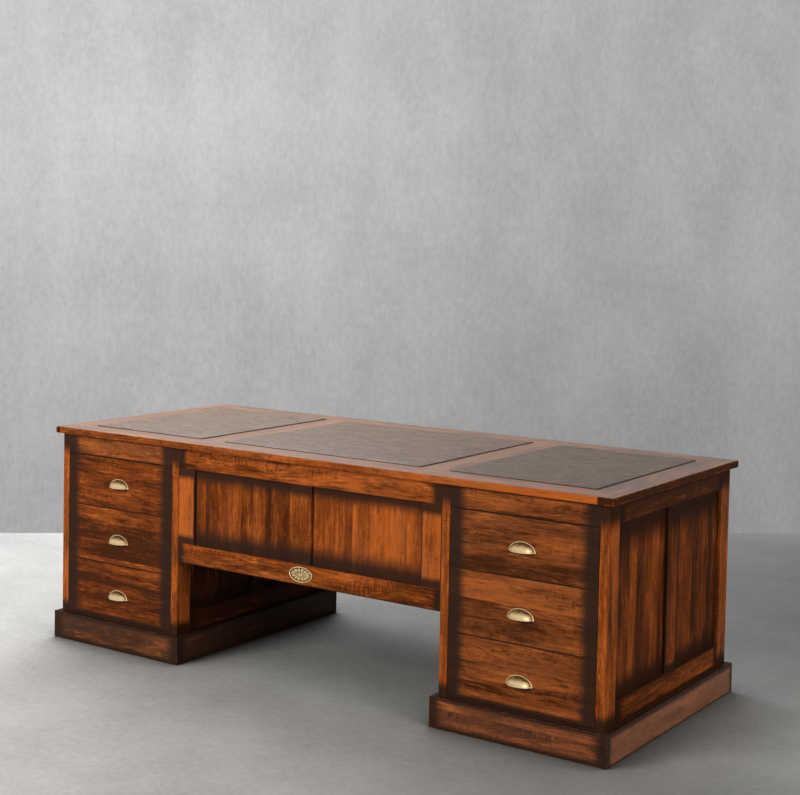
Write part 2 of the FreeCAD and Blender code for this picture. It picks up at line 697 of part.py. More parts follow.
def desk_top():
    """Mitred border, two cross bars, three core boards and three leather insets."""
    half_x, half_y = "(top_length / 2)", "(top_depth / 2)"
    border = mitred_ring("border", half_x, half_y, "border_width", "top_thickness", "top_edge_round", True)
    openings = (
        ("left", f"(border_width - {half_x})", "end_inset_length"),
        ("centre", f"-{CENTRE_INSET} / 2", CENTRE_INSET),
        ("right", f"({half_x} - border_width - end_inset_length)", "end_inset_length"),
    )
    centre_edge = f"({CENTRE_INSET} / 2)"
    bars = [
        board(f"cross_bar_{side}", x, f"-{INSET_DEPTH} / 2", 0, "border_width", INSET_DEPTH, "top_thickness")
        for side, x in (("left", f"-{centre_edge} - border_width"), ("right", centre_edge))
    ]
    node(group("border_boards", border + bars, z=UNDER_TOP), "top_border")

    rise = value_of("leather_thickness")

    def upper_edge(edge):
        return level(edge, rise)

    cores = []
    for side, x, length in openings:
        low_y = f"-{INSET_DEPTH} / 2"
        cores.append(board(f"core_{side}", x, low_y, UNDER_TOP, length, INSET_DEPTH, CORE_THICKNESS))
        half_length = f"({length} / 2 - leather_gap)"
        half_depth = f"({INSET_DEPTH} / 2 - leather_gap)"
        corners = (
            (f"-{half_length}", f"-{half_depth}"),
            (half_length, f"-{half_depth}"),
            (half_length, half_depth),
            (f"-{half_length}", half_depth),
        )
        leather = padded(f"leather_{side}", corners, "leather_thickness", "leather_edge_round", upper_edge)
        place(leather, f"{x} + {length} / 2", 0, f"{UNDER_TOP} + {CORE_THICKNESS}")
        node(leather, f"leather_inset_{side}")
    node(group("cores", cores), "top_core_boards")


def badge_pins(name, radius, length):
    """Two pins, or their holes, that run back into the modesty panel's lower rail."""
    return pair_of_rods(name, "badge_pin_spacing", 0, 0, radius, length)


def badge():
    """A bare oval boss with a raised rim, in the middle of the modesty panel's lower rail."""
    half_x, half_z = "(badge_width / 2)", "(badge_height / 2)"
    field_x, field_z = f"({half_x} - badge_rim_width)", f"({half_z} - badge_rim_width)"
    rim = cut(
        "badge_ring",
        oval_plate("badge_rim", half_x, half_z, "-badge_rim_proud", "badge_rim_proud"),
        oval_plate("badge_field", field_x, field_z, "-badge_rim_proud", "badge_rim_proud - badge_plate"),
    )
    front_half = board(
        "badge_swell_room", f"-{half_x}", "-badge_width", f"-{half_z}",
        "badge_width", "badge_width", "badge_height",
    )
    crown = ellipsoid("badge_dome", f"{field_x} - 1", "badge_plate + badge_crown", f"{field_z} - 1")
    pins = badge_pins("badge_pin", "badge_pin_radius", "badge_pin_length")
    boss = join("badge_boss", rim, overlap("badge_swell", crown, front_half), *pins)
    node(group("badge_group", [boss], y=f"-{BODY_Y}", z=BADGE_HEIGHT), "modesty_badge")


# ---------------------------------------------------------------------------------------------
# Build, check and write
# ---------------------------------------------------------------------------------------------


def check_and_write():
    """Stop if anything failed, then write every sub-part to its own STEP file."""
    doc.recompute()
    failed = [o.Name for o in doc.Objects if {"Invalid", "Error"} & set(o.State)]
    if failed:
        raise RuntimeError(f"objects that failed: {failed}")
    os.makedirs("parts", exist_ok=True)
    for piece in NODES:
        shape = piece.Shape
        if shape.isNull() or not shape.isValid() or not shape.Solids:
            raise RuntimeError(f"{piece.Label} has no sound shape")
        shape.exportStep(f"parts/{piece.Label}.step")
    print(len(NODES), "sub-parts,", sum(len(piece.Shape.Solids) for piece in NODES), "solids")


CENTRES = (("left", f"(-{PEDESTAL_X})"), ("right", PEDESTAL_X))

desk_top()
pedestal_sides()
for pedestal_name, pedestal_centre in CENTRES:
    pedestal_rails(pedestal_name, pedestal_centre)
    drawer_runners(pedestal_name, pedestal_centre)
    plinth(pedestal_name, pedestal_centre)
shared_boards(CENTRES)
fixings_under_top(CENTRES)
drawers(CENTRES)
modesty_panel()
badge()
check_and_write()
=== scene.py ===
"""Finishes of the partners desk: scorched and stained boards, creased leather and rubbed brass.

Every wooden board is made again from its solid in the frame. It gets softened arrises, its own grain
coordinates and its distances to its own faces, so that stain, scorched margins and wear follow the board.
All sizes are in metres. Left and right are as seen from the front, which faces -Y.
"""

import json
import math
import random
from collections import namedtuple

import bmesh
import bpy
from mathutils import Matrix, Vector, noise

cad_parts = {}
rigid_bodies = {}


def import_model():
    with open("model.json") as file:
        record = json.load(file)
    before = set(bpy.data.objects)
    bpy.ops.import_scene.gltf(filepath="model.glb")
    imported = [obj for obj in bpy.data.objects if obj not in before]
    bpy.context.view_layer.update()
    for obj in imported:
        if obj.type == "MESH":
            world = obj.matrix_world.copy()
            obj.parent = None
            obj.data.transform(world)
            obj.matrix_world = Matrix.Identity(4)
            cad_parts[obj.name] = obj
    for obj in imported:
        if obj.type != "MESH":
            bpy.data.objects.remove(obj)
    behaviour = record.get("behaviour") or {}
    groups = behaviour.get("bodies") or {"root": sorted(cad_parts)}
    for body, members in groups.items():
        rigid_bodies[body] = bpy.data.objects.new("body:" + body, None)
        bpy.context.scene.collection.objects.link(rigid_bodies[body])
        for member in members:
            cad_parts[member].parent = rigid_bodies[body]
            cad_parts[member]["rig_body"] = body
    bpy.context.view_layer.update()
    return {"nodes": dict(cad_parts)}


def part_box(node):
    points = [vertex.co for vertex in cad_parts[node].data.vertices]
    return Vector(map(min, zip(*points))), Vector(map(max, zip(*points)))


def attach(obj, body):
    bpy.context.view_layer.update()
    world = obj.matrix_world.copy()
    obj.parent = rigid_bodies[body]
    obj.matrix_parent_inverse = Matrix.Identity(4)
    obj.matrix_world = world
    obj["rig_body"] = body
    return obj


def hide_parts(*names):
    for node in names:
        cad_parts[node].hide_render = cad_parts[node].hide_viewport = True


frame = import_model()

MM = 0.001
LONG, WIDE = 0, 1
X, Y, Z = 0, 1, 2

TOP_LOW, TOP_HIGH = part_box("top_border")
PLINTH_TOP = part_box("left_plinth")[1].z
PEDESTALS = ("left", "right")
DRAWERS = [
    f"{face}_{pedestal}_{drawer}_drawer"
    for face in ("front", "back") for pedestal in PEDESTALS for drawer in ("top", "middle", "bottom")
]

# --- Colours, as they look in plain light ---

STAIN_LIGHT = (0.385, 0.090, 0.0145)
STAIN_MIDDLE = (0.150, 0.0335, 0.0060)
STAIN_DARK = (0.045, 0.0115, 0.0028)
STAIN_FADED = (0.270, 0.092, 0.030)
STAIN_GLEAM = (0.700, 0.205, 0.036)
SCORCH = (0.0235, 0.0118, 0.0078)
RED_SCORCH = (0.0210, 0.0070, 0.0025)
FRONT_LIGHT = (0.340, 0.088, 0.019)
FRONT_MIDDLE = (0.165, 0.044, 0.0105)
PLINTH_LIGHT = (0.340, 0.096, 0.032)
PLINTH_MIDDLE = (0.135, 0.043, 0.019)
PLINTH_DARK = (0.048, 0.020, 0.011)
# The outer sides of the plinths are paler and greyer, partly a painted sheen.
PLINTH_SIDE_LIGHT = (0.320, 0.130, 0.072)
PLINTH_SIDE_MIDDLE = (0.165, 0.066, 0.036)
PLINTH_SIDE_DARK = (0.058, 0.025, 0.015)
TOP_LIGHT = (0.510, 0.190, 0.058)
TOP_MIDDLE = (0.305, 0.106, 0.034)
TOP_DARK = (0.085, 0.032, 0.015)
CHIPPED = (0.55, 0.38, 0.24)
INNER_LIGHT = (0.50, 0.36, 0.22)
INNER_DARK = (0.30, 0.19, 0.10)
LEATHER_LOW = (0.085, 0.042, 0.022)
LEATHER_HIGH = (0.232, 0.124, 0.059)
# Colour of the hides' rolled edges: painted shade.
LEATHER_EDGE_PAINTED_SHADE = (0.030, 0.016, 0.010)
BRASS_BRIGHT = (0.97, 0.735, 0.42)
BRASS_AGED = (0.74, 0.50, 0.225)
BRASS_CREVICE = (0.130, 0.082, 0.032)
# The floor's colour runs from a painted pool of light on the left to painted shade on the right.
FLOOR_PAINTED_LIGHT = (0.62, 0.62, 0.615)
FLOOR_PAINTED_SHADE = (0.245, 0.245, 0.240)
WALL_COLOUR = (0.585, 0.585, 0.585)
SURROUNDINGS = (0.42, 0.42, 0.42)
WHITE_LIGHT = (1.0, 1.0, 1.0)
WARM_LIGHT = (1.0, 0.97, 0.93)

# --- Node helpers ---


class Value:
    """A node's output, with sums written as in algebra."""

    def __init__(self, graph, output):
        self.graph = graph
        self.output = output

    def __add__(self, other):
        return self.graph.math("ADD", self, other)

    def __sub__(self, other):
        return self.graph.math("SUBTRACT", self, other)

    def __rsub__(self, other):
        return self.graph.math("SUBTRACT", other, self)

    def __mul__(self, other):
        return self.graph.math("MULTIPLY", self, other)

    def __truediv__(self, other):
        return self.graph.math("DIVIDE", self, other)

    __radd__ = __add__
    __rmul__ = __mul__

    def step(self, low, high, to_low=0.0, to_high=1.0):
        """A smooth step from low to high."""
        return self.graph.get(
            "MapRange", "Result", {"interpolation_type": "SMOOTHSTEP"},
            Value=self, From_Min=low, From_Max=high, To_Min=to_low, To_Max=to_high,
        )

    def noise(self, stretch, detail=2.0, roughness=0.5):
        """Noise at this place, which is stretched first, by one number or by one along each axis."""
        if not isinstance(stretch, tuple):
            stretch = (stretch, stretch, stretch)
        place = self.graph.vector("MULTIPLY", self, stretch)
        return self.graph.get("TexNoise", "Fac", Vector=place, Scale=1.0, Detail=detail, Roughness=roughness)

    def parts(self):
        """The three parts of a vector."""
        return [Value(self.graph, output) for output in self.graph.node("SeparateXYZ", Vector=self).outputs]


class Graph:
    """A node tree with short ways to add nodes."""

    def __init__(self, tree):
        self.tree = tree

    def put(self, value, socket):
        """Links a value to a socket or sets its own. A tuple with a Value in it is combined first."""
        if isinstance(value, tuple) and any(isinstance(part, Value) for part in value):
            x, y, z = value
            value = self.get("CombineXYZ", "Vector", X=x, Y=y, Z=z)
        if isinstance(value, Value):
            self.tree.links.new(value.output, socket)
        else:
            socket.default_value = (*value, 1.0) if socket.type == "RGBA" else value

    def feed(self, node, **inputs):
        """Sets or links a node's inputs by name."""
        for name, value in inputs.items():
            self.put(value, node.inputs[name.replace("_", " ")])

    def node(self, kind, settings=None, **inputs):
        """A new shader node."""
        node = self.tree.nodes.new(f"ShaderNode{kind}")
        for name, value in (settings or {}).items():
            setattr(node, name, value)
        self.feed(node, **inputs)
        return node

    def value(self, node, output):
        """A node's output by name or number."""
        return Value(self, node.outputs[output])

    def get(self, kind, output, settings=None, **inputs):
        """One output of a new shader node."""
        return self.value(self.node(kind, settings, **inputs), output)

    def apply(self, kind, values, output=0, **settings):
        """One output of a new shader node that takes values in the order of its inputs."""
        node = self.node(kind, settings)
        for socket, value in zip(node.inputs, values):
            self.put(value, socket)
        return self.value(node, output)

    def math(self, operation, *values):
        """A Math node's result."""
        return self.apply("Math", values, operation=operation)

    def vector(self, operation, *values):
        """A Vector Math node's vector."""
        return self.apply("VectorMath", values, operation=operation)

    def mix(self, share, first, second, blend="MIX"):
        """A mix of two colours."""
        node = self.node("Mix", {"data_type": "RGBA", "blend_type": blend, "clamp_factor": True})
        for number, value in ((0, share), (6, first), (7, second)):
            self.put(value, node.inputs[number])
        return self.value(node, 2)

    def dim(self, colour, level):
        """A colour multiplied by a number."""
        return self.mix(1.0, colour, (level, level, level), "MULTIPLY")

    def bump(self, height, strength, distance):
        """A normal from a height."""
        return self.get("Bump", "Normal", Height=height, Strength=strength, Distance=distance)

    def attribute(self, name, output="Fac"):
        """A vertex attribute."""
        return self.get("Attribute", output, {"attribute_name": name, "attribute_type": "GEOMETRY"})


def new_group(name, results, **inputs):
    """A node group; returns its graph, its inputs by name and its output node.

    An input of None is a vector, and any other is a number with that default. All results are numbers.
    """
    tree = bpy.data.node_groups.new(name, "ShaderNodeTree")
    for label, value in inputs.items():
        kind = "NodeSocketVector" if value is None else "NodeSocketFloat"
        socket = tree.interface.new_socket(label.replace("_", " "), in_out="INPUT", socket_type=kind)
        if value is not None:
            socket.default_value = value
    for label in results:
        tree.interface.new_socket(label, in_out="OUTPUT", socket_type="NodeSocketFloat")
    graph = Graph(tree)
    entry = tree.nodes.new("NodeGroupInput")
    given = {label: graph.value(entry, label.replace("_", " ")) for label in inputs}
    return graph, given, tree.nodes.new("NodeGroupOutput")


def use_group(graph, tree, **inputs):
    """A group placed in a graph, with its inputs by name; returns its results by name."""
    node = graph.node("Group", {"node_tree": tree})
    graph.feed(node, **inputs)
    return {output.name: Value(graph, output) for output in node.outputs}


# --- Effects that materials share ---


def make_figure_group():
    """The grain of a board: glued staves, clouds, streaks, dark lines, cross-grain curl and blotches."""
    graph, given, result = new_group(
        "Wood figure", ("Tone", "Blotches", "Lines", "Faded", "Gleam", "Height"), grain=None,
        stave=0.06, stave_contrast=0.5, bands=0.6, clouds=0.9, streak=90.0, streaks=0.6, fine_streaks=0.8,
        curl=0.5, blotches=0.4, burns=0.2,
    )
    grain = given["grain"]
    stave = graph.math("FLOOR", grain.parts()[WIDE] / given["stave"])
    chance = graph.node("TexWhiteNoise", {"noise_dimensions": "1D"}, W=stave)
    apart = graph.vector("MULTIPLY", graph.value(chance, "Color"), (9.0, 9.0, 9.0))
    own = graph.vector("ADD", grain, apart)
    place = graph.vector("ADD", own, (0.0, own.noise((2.6, 7.0, 7.0)) * 0.045, 0.0))

    def drawn(where, along, across, detail, roughness=0.5):
        return where.noise((along, across, across), detail, roughness)

    bands = drawn(place, 1.5, 15.0, 2.0)
    clouds = drawn(place, 5.0, 25.0, 4.0, 0.58)
    streak = drawn(place, 5.0, given["streak"], 4.0, 0.62)
    fine = drawn(place, 20.0, given["streak"] * 5.0, 2.0, 0.62)
    mottle = drawn(place, 45.0, 75.0, 3.0, 0.6)
    hair = drawn(place, 15.0, 330.0, 1.0)
    curled = drawn(own, 5.0, 17.0, 2.0).step(0.46, 0.64)
    ticks = (drawn(own, 190.0, 34.0, 3.0, 0.6) - 0.5) * curled * given["curl"]
    spotted = drawn(own, 3.6, 27.0, 1.0).step(0.53, 0.64)
    blotches = drawn(own, 34.0, 62.0, 4.0, 0.62).step(0.48, 0.64) * spotted * given["blotches"]
    burnt = drawn(place, 4.0, 30.0, 5.0, 0.66).step(0.49, 0.66) * given["burns"]
    tone = 0.5
    for value, weight in (
        (bands, given["bands"]), (clouds, given["clouds"]), (streak, given["streaks"]),
        (fine, given["fine_streaks"]), (mottle, 0.40),
        (graph.value(chance, "Value"), given["stave_contrast"]),
    ):
        tone = tone + (value - 0.5) * weight
    graph.feed(
        result, Tone=tone + ticks - burnt, Blotches=blotches, Lines=hair.step(0.60, 0.70),
        Faded=drawn(own, 3.2, 13.0, 3.0, 0.6).step(0.42, 0.66),
        Gleam=fine.step(0.52, 0.64) * clouds.step(0.51, 0.63), Height=fine * 0.6 + streak * 0.4,
    )
    return graph.tree


def make_scorch_group():
    """How dark a board is burnished towards its margins, with edges that are ragged along the grain; on some
    boards the margins are partly painted shade under the top and above the plinth.
    """
    graph, given, result = new_group(
        "Scorched margins", ("Mask",), grain=None, ends=None, sides=None, softness=0.35, raggedness=0.35,
    )
    ragged = given["grain"].noise((5.0, 85.0, 85.0), 3.0, 0.6) - 0.5
    cloud = given["grain"].noise(14.0) - 0.5
    wander = (ragged + cloud * 0.8) * (given["raggedness"] * 2.0)
    mask = 0.0
    for label in ("ends", "sides"):
        for distance in given[label].parts()[:2]:
            margin = (distance + wander).step(1.0 - given["softness"], given["softness"] + 1.0, 1.0, 0.0)
            mask = graph.math("MAXIMUM", mask, margin)
    graph.feed(result, Mask=mask)
    return graph.tree


def make_worn_arris_group():
    """Where handling has rubbed a board's arrises, as a broken line along them, and chipped them."""
    graph, given, result = new_group(
        "Worn arrises", ("Mask", "Chips"), grain=None, from_low=None, to_high=None, width=0.004, amount=0.5,
    )
    x, y, z = graph.vector("MINIMUM", given["from_low"], given["to_high"]).parts()
    least = graph.math("MINIMUM", graph.math("MINIMUM", x, y), z)
    most = graph.math("MAXIMUM", graph.math("MAXIMUM", x, y), z)
    from_arris = x + y + z - least - most
    broken = given["grain"].noise(55.0, 3.0, 0.7)
    reach = given["width"] * broken.step(0.42, 0.70, 0.15, 1.5)
    rubbed = (from_arris / reach).step(0.35, 1.0, 1.0, 0.0)
    chipped = (given["grain"].noise(190.0, 2.0, 0.6) + broken * 0.35).step(0.80, 0.86)
    graph.feed(result, Mask=rubbed * given["amount"], Chips=chipped * from_arris.step(0.0, 0.0022, 1.0, 0.0))
    return graph.tree


FIGURE = make_figure_group()
SCORCHED = make_scorch_group()
WORN = make_worn_arris_group()

# --- Materials ---

STAINED_FIGURE = {
    "stave": 0.06, "stave_contrast": 0.22, "bands": 0.6, "clouds": 0.9, "streak": 115.0, "streaks": 0.7,
    "fine_streaks": 0.8, "curl": 0.5, "blotches": 0.4, "burns": 0.22,
}


def new_material(name):
    """A material without nodes, and its graph."""
    material = bpy.data.materials.new(name)
    material.use_nodes = True
    material.node_tree.nodes.clear()
    return material, Graph(material.node_tree)


def add_principled(graph, **inputs):
    """A Principled shader on the material's output."""
    graph.node("OutputMaterial", Surface=graph.get("BsdfPrincipled", "BSDF", **inputs))


def stained_wood(
    name, light=STAIN_LIGHT, middle=STAIN_MIDDLE, dark=STAIN_DARK, scorch=SCORCH,
    softness=0.42, raggedness=0.16, burnish=0.95, wear=0.10, wear_width=0.0028, chips=0.0,
    roughness=0.42, gloss=0.07, coat=0.0, **other_figure,
):
    """A board with a red-brown stain, burnished nearly black at its margins, under satin lacquer.

    other_figure holds what differs from STAINED_FIGURE.
    """
    material, graph = new_material(name)
    grain = graph.attribute("grain", "Vector")
    wildness = graph.attribute("wildness")
    settings = {**STAINED_FIGURE, **other_figure}
    for wild in ("curl", "blotches", "burns"):
        settings[wild] = wildness * settings[wild]
    figure = use_group(graph, FIGURE, grain=grain, **settings)
    scorched = use_group(
        graph, SCORCHED, grain=grain, ends=graph.attribute("scorch_ends", "Vector"),
        sides=graph.attribute("scorch_sides", "Vector"), softness=softness, raggedness=raggedness,
    )["Mask"]
    worn = use_group(
        graph, WORN, grain=grain, from_low=graph.attribute("from_low", "Vector"),
        to_high=graph.attribute("to_high", "Vector"), width=wear_width, amount=wear,
    )
    tone = figure["Tone"] + graph.attribute("stain")
    colour = graph.mix(tone.step(0.12, 0.52), dark, middle)
    for share, over in (
        (tone.step(0.42, 0.95), light),
        (figure["Faded"] * graph.attribute("fading") * 0.42, graph.mix(tone, dark, STAIN_FADED)),
        (figure["Gleam"] * (wildness * 0.32), STAIN_GLEAM),
        (figure["Blotches"], dark),
        (figure["Lines"] * 0.45, dark),
        (scorched * burnish, scorch),
        (worn["Mask"], light),
        (worn["Chips"] * chips, CHIPPED),
    ):
        colour = graph.mix(share, colour, over)
    add_principled(
        graph, Base_Color=colour, Roughness=(figure["Height"] - 0.5) * 0.25 + roughness + scorched * 0.06,
        Specular_IOR_Level=gloss, Coat_Weight=coat, Coat_Roughness=0.22,
        Normal=graph.bump(figure["Height"], 0.35, 0.0004),
    )
    return material


def inner_wood():
    """Plain sanded boards inside the desk."""
    material, graph = new_material("sanded_inner_wood")
    figure = use_group(
        graph, FIGURE, grain=graph.attribute("grain", "Vector"),
        stave=0.09, stave_contrast=0.25, clouds=0.7, curl=0.1, blotches=0.0,
    )
    add_principled(
        graph, Base_Color=graph.mix(figure["Tone"].step(0.1, 0.9), INNER_DARK, INNER_LIGHT),
        Roughness=figure["Height"] * 0.2 + 0.5, Normal=graph.bump(figure["Height"], 0.3, 0.0004),
    )
    return material


def creased_leather():
    """Dark brown hide with fine creases and a soft sheen, with painted shade where it rolls down into the top
    and on the hides further right.
    """
    material, graph = new_material("creased_leather")
    # The rubbed attribute carries the hides' painted shade: lower on the hides further right, and zero on the
    # rolled edge.
    shade = graph.attribute("rubbed")
    place = graph.get("TexCoord", "Object")
    drift = place.noise(7.0, 3.0, 0.6)
    bent = graph.vector("ADD", place, (drift * 0.10, drift * 0.07, 0.0))

    def creases(stretch, width):
        """Thin lines where noise passes through its middle."""
        return graph.math("ABSOLUTE", bent.noise(stretch, 3.0, 0.55) - 0.5).step(0.0, width)

    cells = graph.get(
        "TexVoronoi", "Distance", {"feature": "DISTANCE_TO_EDGE", "voronoi_dimensions": "2D"},
        Vector=bent, Scale=110.0, Randomness=1.0,
    )
    relief = creases((17.0, 25.0, 10.0), 0.045) * 0.38 + creases((52.0, 74.0, 30.0), 0.080) * 0.30
    relief = relief + cells.step(0.0, 0.20) * 0.20
    sheen = place.noise((16.0, 36.0, 12.0), 5.0, 0.72).step(0.34, 0.66, 0.34, 1.0)
    hide = graph.mix(sheen * (relief + 0.12), LEATHER_LOW, LEATHER_HIGH)
    add_principled(
        graph, Base_Color=graph.mix(shade, LEATHER_EDGE_PAINTED_SHADE, hide), Roughness=0.46 - relief * 0.12,
        Coat_Weight=shade * (sheen * (relief * 0.56) + 0.08), Coat_Roughness=0.28,
        Normal=graph.bump(relief + place.noise(700.0, 1.0) * 0.15, 0.75, 0.0008),
    )
    return material


def aged_brass():
    """Brass that has gone brown in its hollows and is rubbed bright where it stands proud."""
    material, graph = new_material("aged_brass")
    place = graph.get("TexCoord", "Object")
    spots = place.noise(260.0, 4.0, 0.7)
    # On the cups' domes the rubbed attribute holds painted highlight and shade rather than rubbing.
    level = graph.attribute("rubbed") + (spots - 0.5) * 0.55 + (place.noise(58.0) - 0.5) * 0.60
    colour = graph.mix(level.step(0.10, 0.46), BRASS_CREVICE, BRASS_AGED)
    add_principled(
        graph, Base_Color=graph.mix(level.step(0.38, 0.85), colour, BRASS_BRIGHT), Metallic=0.75,
        Roughness=level.step(0.1, 0.9, 0.66, 0.50), Normal=graph.bump(spots, 0.25, 0.0002),
    )
    return material


DRAWER_FIGURE = {
    "stave": 0.062, "stave_contrast": 0.26, "bands": 1.0, "clouds": 0.8, "curl": 0.85, "blotches": 0.75,
    "burns": 0.24,
}
# The plinths' arris wear is stronger than elsewhere, partly a painted highlight along their rounded arrises.
PLINTH_MARGINS = {"softness": 0.60, "raggedness": 0.26, "wear": 0.25}
TOP_MARGINS = {"softness": 0.06, "raggedness": 0.01}

FRONT_WOOD = stained_wood(
    "drawer_front_stain", light=FRONT_LIGHT, middle=FRONT_MIDDLE, wear=0.04, **DRAWER_FIGURE,
)
RED_FRONT_WOOD = stained_wood("red_drawer_front_stain", wear=0.04, gloss=0.05, **DRAWER_FIGURE)
FRAME_WOOD, SIDE_FRAME_WOOD = (
    stained_wood(
        name, scorch=scorch, stave=0.5, stave_contrast=0.1, bands=0.8, streaks=0.9, curl=1.0, gloss=0.03,
    )
    for name, scorch in (("frame_stain", SCORCH), ("side_frame_stain", RED_SCORCH))
)
PANEL_WOOD, SIDE_PANEL_WOOD = (
    stained_wood(
        name, scorch=scorch, stave=0.052, stave_contrast=0.34, streaks=0.55, fine_streaks=0.5, curl=0.4,
        blotches=0.3, burns=0.12, softness=0.62, raggedness=0.14, gloss=0.025,
    )
    for name, scorch in (("panel_stain", SCORCH), ("side_panel_stain", RED_SCORCH))
)
PLINTH_WOOD = stained_wood(
    "plinth_stain", light=PLINTH_LIGHT, middle=PLINTH_MIDDLE, dark=PLINTH_DARK, stave=0.5, streaks=0.5,
    curl=1.2, burns=0.08, gloss=0.08, **PLINTH_MARGINS,
)
PLINTH_SIDE_SHEEN_WOOD = stained_wood(
    "plinth_side_stain", light=PLINTH_SIDE_LIGHT, middle=PLINTH_SIDE_MIDDLE, dark=PLINTH_SIDE_DARK, stave=0.5,
    clouds=0.6, streaks=0.4, blotches=0.2, burns=0.08, gloss=0.16, **PLINTH_MARGINS,
)
TOP_WOOD = stained_wood(
    "top_stain", light=TOP_LIGHT, middle=TOP_MIDDLE, dark=TOP_DARK, stave=0.051, curl=0.4,
    wear=0.5, wear_width=0.004, roughness=0.38, gloss=0.40, coat=0.52, **TOP_MARGINS,
)
EDGE_WOOD = stained_wood(
    "top_edge_stain", scorch=RED_SCORCH, stave=0.5, curl=1.3, blotches=0.5,
    burnish=0.94, wear=0.55, wear_width=0.005, chips=0.85, gloss=0.03, **TOP_MARGINS,
)
INNER_WOOD = inner_wood()
LEATHER = creased_leather()
BRASS = aged_brass()

# --- Pieces ---


def add_object(name, data):
    """A new object in the scene."""
    piece = bpy.data.objects.new(name, data)
    bpy.context.scene.collection.objects.link(piece)
    return piece


def add_piece(name, mesh, material, node, place=(0.0, 0.0, 0.0), turn=0.0):
    """Puts a finished mesh in the desk in place of a CAD node."""
    if not mesh.materials:
        mesh.materials.append(material)
    piece = add_object(name, mesh)
    piece.location = place
    piece.rotation_euler.z = turn
    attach(piece, frame["nodes"][node]["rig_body"])
    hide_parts(node)
    return piece


def set_attribute(mesh, name, kind, numbers):
    """Gives a mesh a vertex attribute from a flat list of numbers."""
    layer = mesh.attributes.new(name, kind, "POINT")
    layer.data.foreach_set("vector" if kind == "FLOAT_VECTOR" else "value", numbers)


# --- Boards, made again from the solids of the frame ---

FLAT = math.radians(1.0)
SHARP = math.radians(40.0)
TOP_SKIN = 0.5 * MM
TOUCHING = 1 * MM
KNEEHOLE_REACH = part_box("right_inner_side_frame")[0].x + 30 * MM

# A distance, as a share of a scorched margin, at which no scorch shows.
NO_SCORCH = 99.0

# ends, sides: how far a board is scorched from its low and its high end, and from either side.
# stain: how much lighter than usual it is stained. stain_above: the same on the top's upper face.
# fading, wildness: how far the stain has faded, and how wild the figure is.
# drift: how much lighter the stain is at the board's high end than at its low one.
Finish = namedtuple(
    "Finish", "ends sides stain stain_above fading wildness drift",
    defaults=((0.0, 0.0), (0.0, 0.0), 0.0, 0.0, 1.0, 1.0, 0.0),
)


def solids_of(node):
    """The triangles of each separate solid of a node, as lists of corner points."""
    mesh = frame["nodes"][node].data
    points = [tuple(round(part, 6) for part in vertex.co) for vertex in mesh.vertices]
    faces = [[points[i] for i in polygon.vertices] for polygon in mesh.polygons]
    faces = [face for face in faces if len(set(face)) == len(face)]
    sides = {}
    for number, face in enumerate(faces):
        for a, b in zip(face, face[1:] + face[:1]):
            sides.setdefault(frozenset((a, b)), []).append(number)
    leader = list(range(len(faces)))

    def lead(number):
        """The face that stands for all that this one is joined to."""
        while leader[number] != number:
            leader[number] = leader[leader[number]]
            number = leader[number]
        return number

    for pair in sides.values():
        if len(pair) == 2:
            leader[lead(pair[0])] = lead(pair[1])
    solids = {}
    for number, face in enumerate(faces):
        solids.setdefault(lead(number), []).append(face)
    return list(solids.values())


def softened(faces, arris):
    """One solid with whole flat faces and rounded arrises."""
    solid = bmesh.new()
    corners = {}
    for face in faces:
        for point in face:
            if point not in corners:
                corners[point] = solid.verts.new(point)
        solid.faces.new([corners[point] for point in face])
    bmesh.ops.dissolve_limit(solid, angle_limit=FLAT, verts=solid.verts, edges=solid.edges)
    sharp = [edge for edge in solid.edges if edge.is_manifold and edge.calc_face_angle_signed() > SHARP]
    bmesh.ops.bevel(
        solid, geom=sharp, offset=arris, offset_type="OFFSET", segments=3, profile=0.5,
        affect="EDGES", clamp_overlap=True,
    )
    for face in solid.faces:
        face.smooth = True
    return solid


class Board:
    """How one solid lies: its box, what is seen of it, which way its grain runs, and its finish."""

    def __init__(self, faces, finish, grain=None, seen=None):
        corners = [point for face in faces for point in face]
        self.low = Vector([min(point[axis] for point in corners) for axis in range(3)])
        self.high = Vector([max(point[axis] for point in corners) for axis in range(3)])
        size = self.high - self.low
        self.axes = sorted(range(3), key=lambda axis: (axis != grain, -size[axis]))
        self.seen_low, self.seen_high = self.low.copy(), self.high.copy()
        if seen is not None:
            seen(self)
        self.finish = finish(self)

    def runs(self, axis):
        """Whether the grain runs along an axis."""
        return self.axes[LONG] == axis

    def reaches_top(self):
        """Whether the board stands right up to the underside of the top."""
        return self.high.z > TOP_LOW.z - TOUCHING

    def in_kneehole(self):
        """Whether the board stands between the pedestals."""
        return max(abs(self.low.x), abs(self.high.x)) < KNEEHOLE_REACH

    def trim(self, axis, low, high):
        """Leaves out of sight what lies outside low to high along an axis."""
        self.seen_low[axis] = max(self.seen_low[axis], low)
        self.seen_high[axis] = min(self.seen_high[axis], high)


def vertex_values(board, places, offset):
    """The attributes of each vertex: its place in the grain, its distances to the faces, and its stain."""

    def shares(low, high, widths):
        """Distances from two opposite faces as shares of how far each is scorched."""
        near, far = (
            distance / width if width > 0.0 else NO_SCORCH for distance, width in zip((low, high), widths)
        )
        return (near, far, 0.0)

    finish = board.finish
    for place in places:
        low = Vector([place[axis] - board.seen_low[axis] for axis in board.axes])
        high = Vector([board.seen_high[axis] - place[axis] for axis in board.axes])
        on_top = place.z > TOP_HIGH.z - TOP_SKIN
        along = low[LONG] / (low[LONG] + high[LONG]) - 0.5
        yield {
            "grain": low + offset,
            "from_low": low,
            "to_high": high,
            "scorch_ends": shares(low[LONG], high[LONG], (0.0, 0.0) if on_top else finish.ends),
            "scorch_sides": shares(low[WIDE], high[WIDE], finish.sides),
            "stain": finish.stain_above if on_top else finish.stain + finish.drift * along,
            "fading": finish.fading,
            "wildness": finish.wildness,
        }


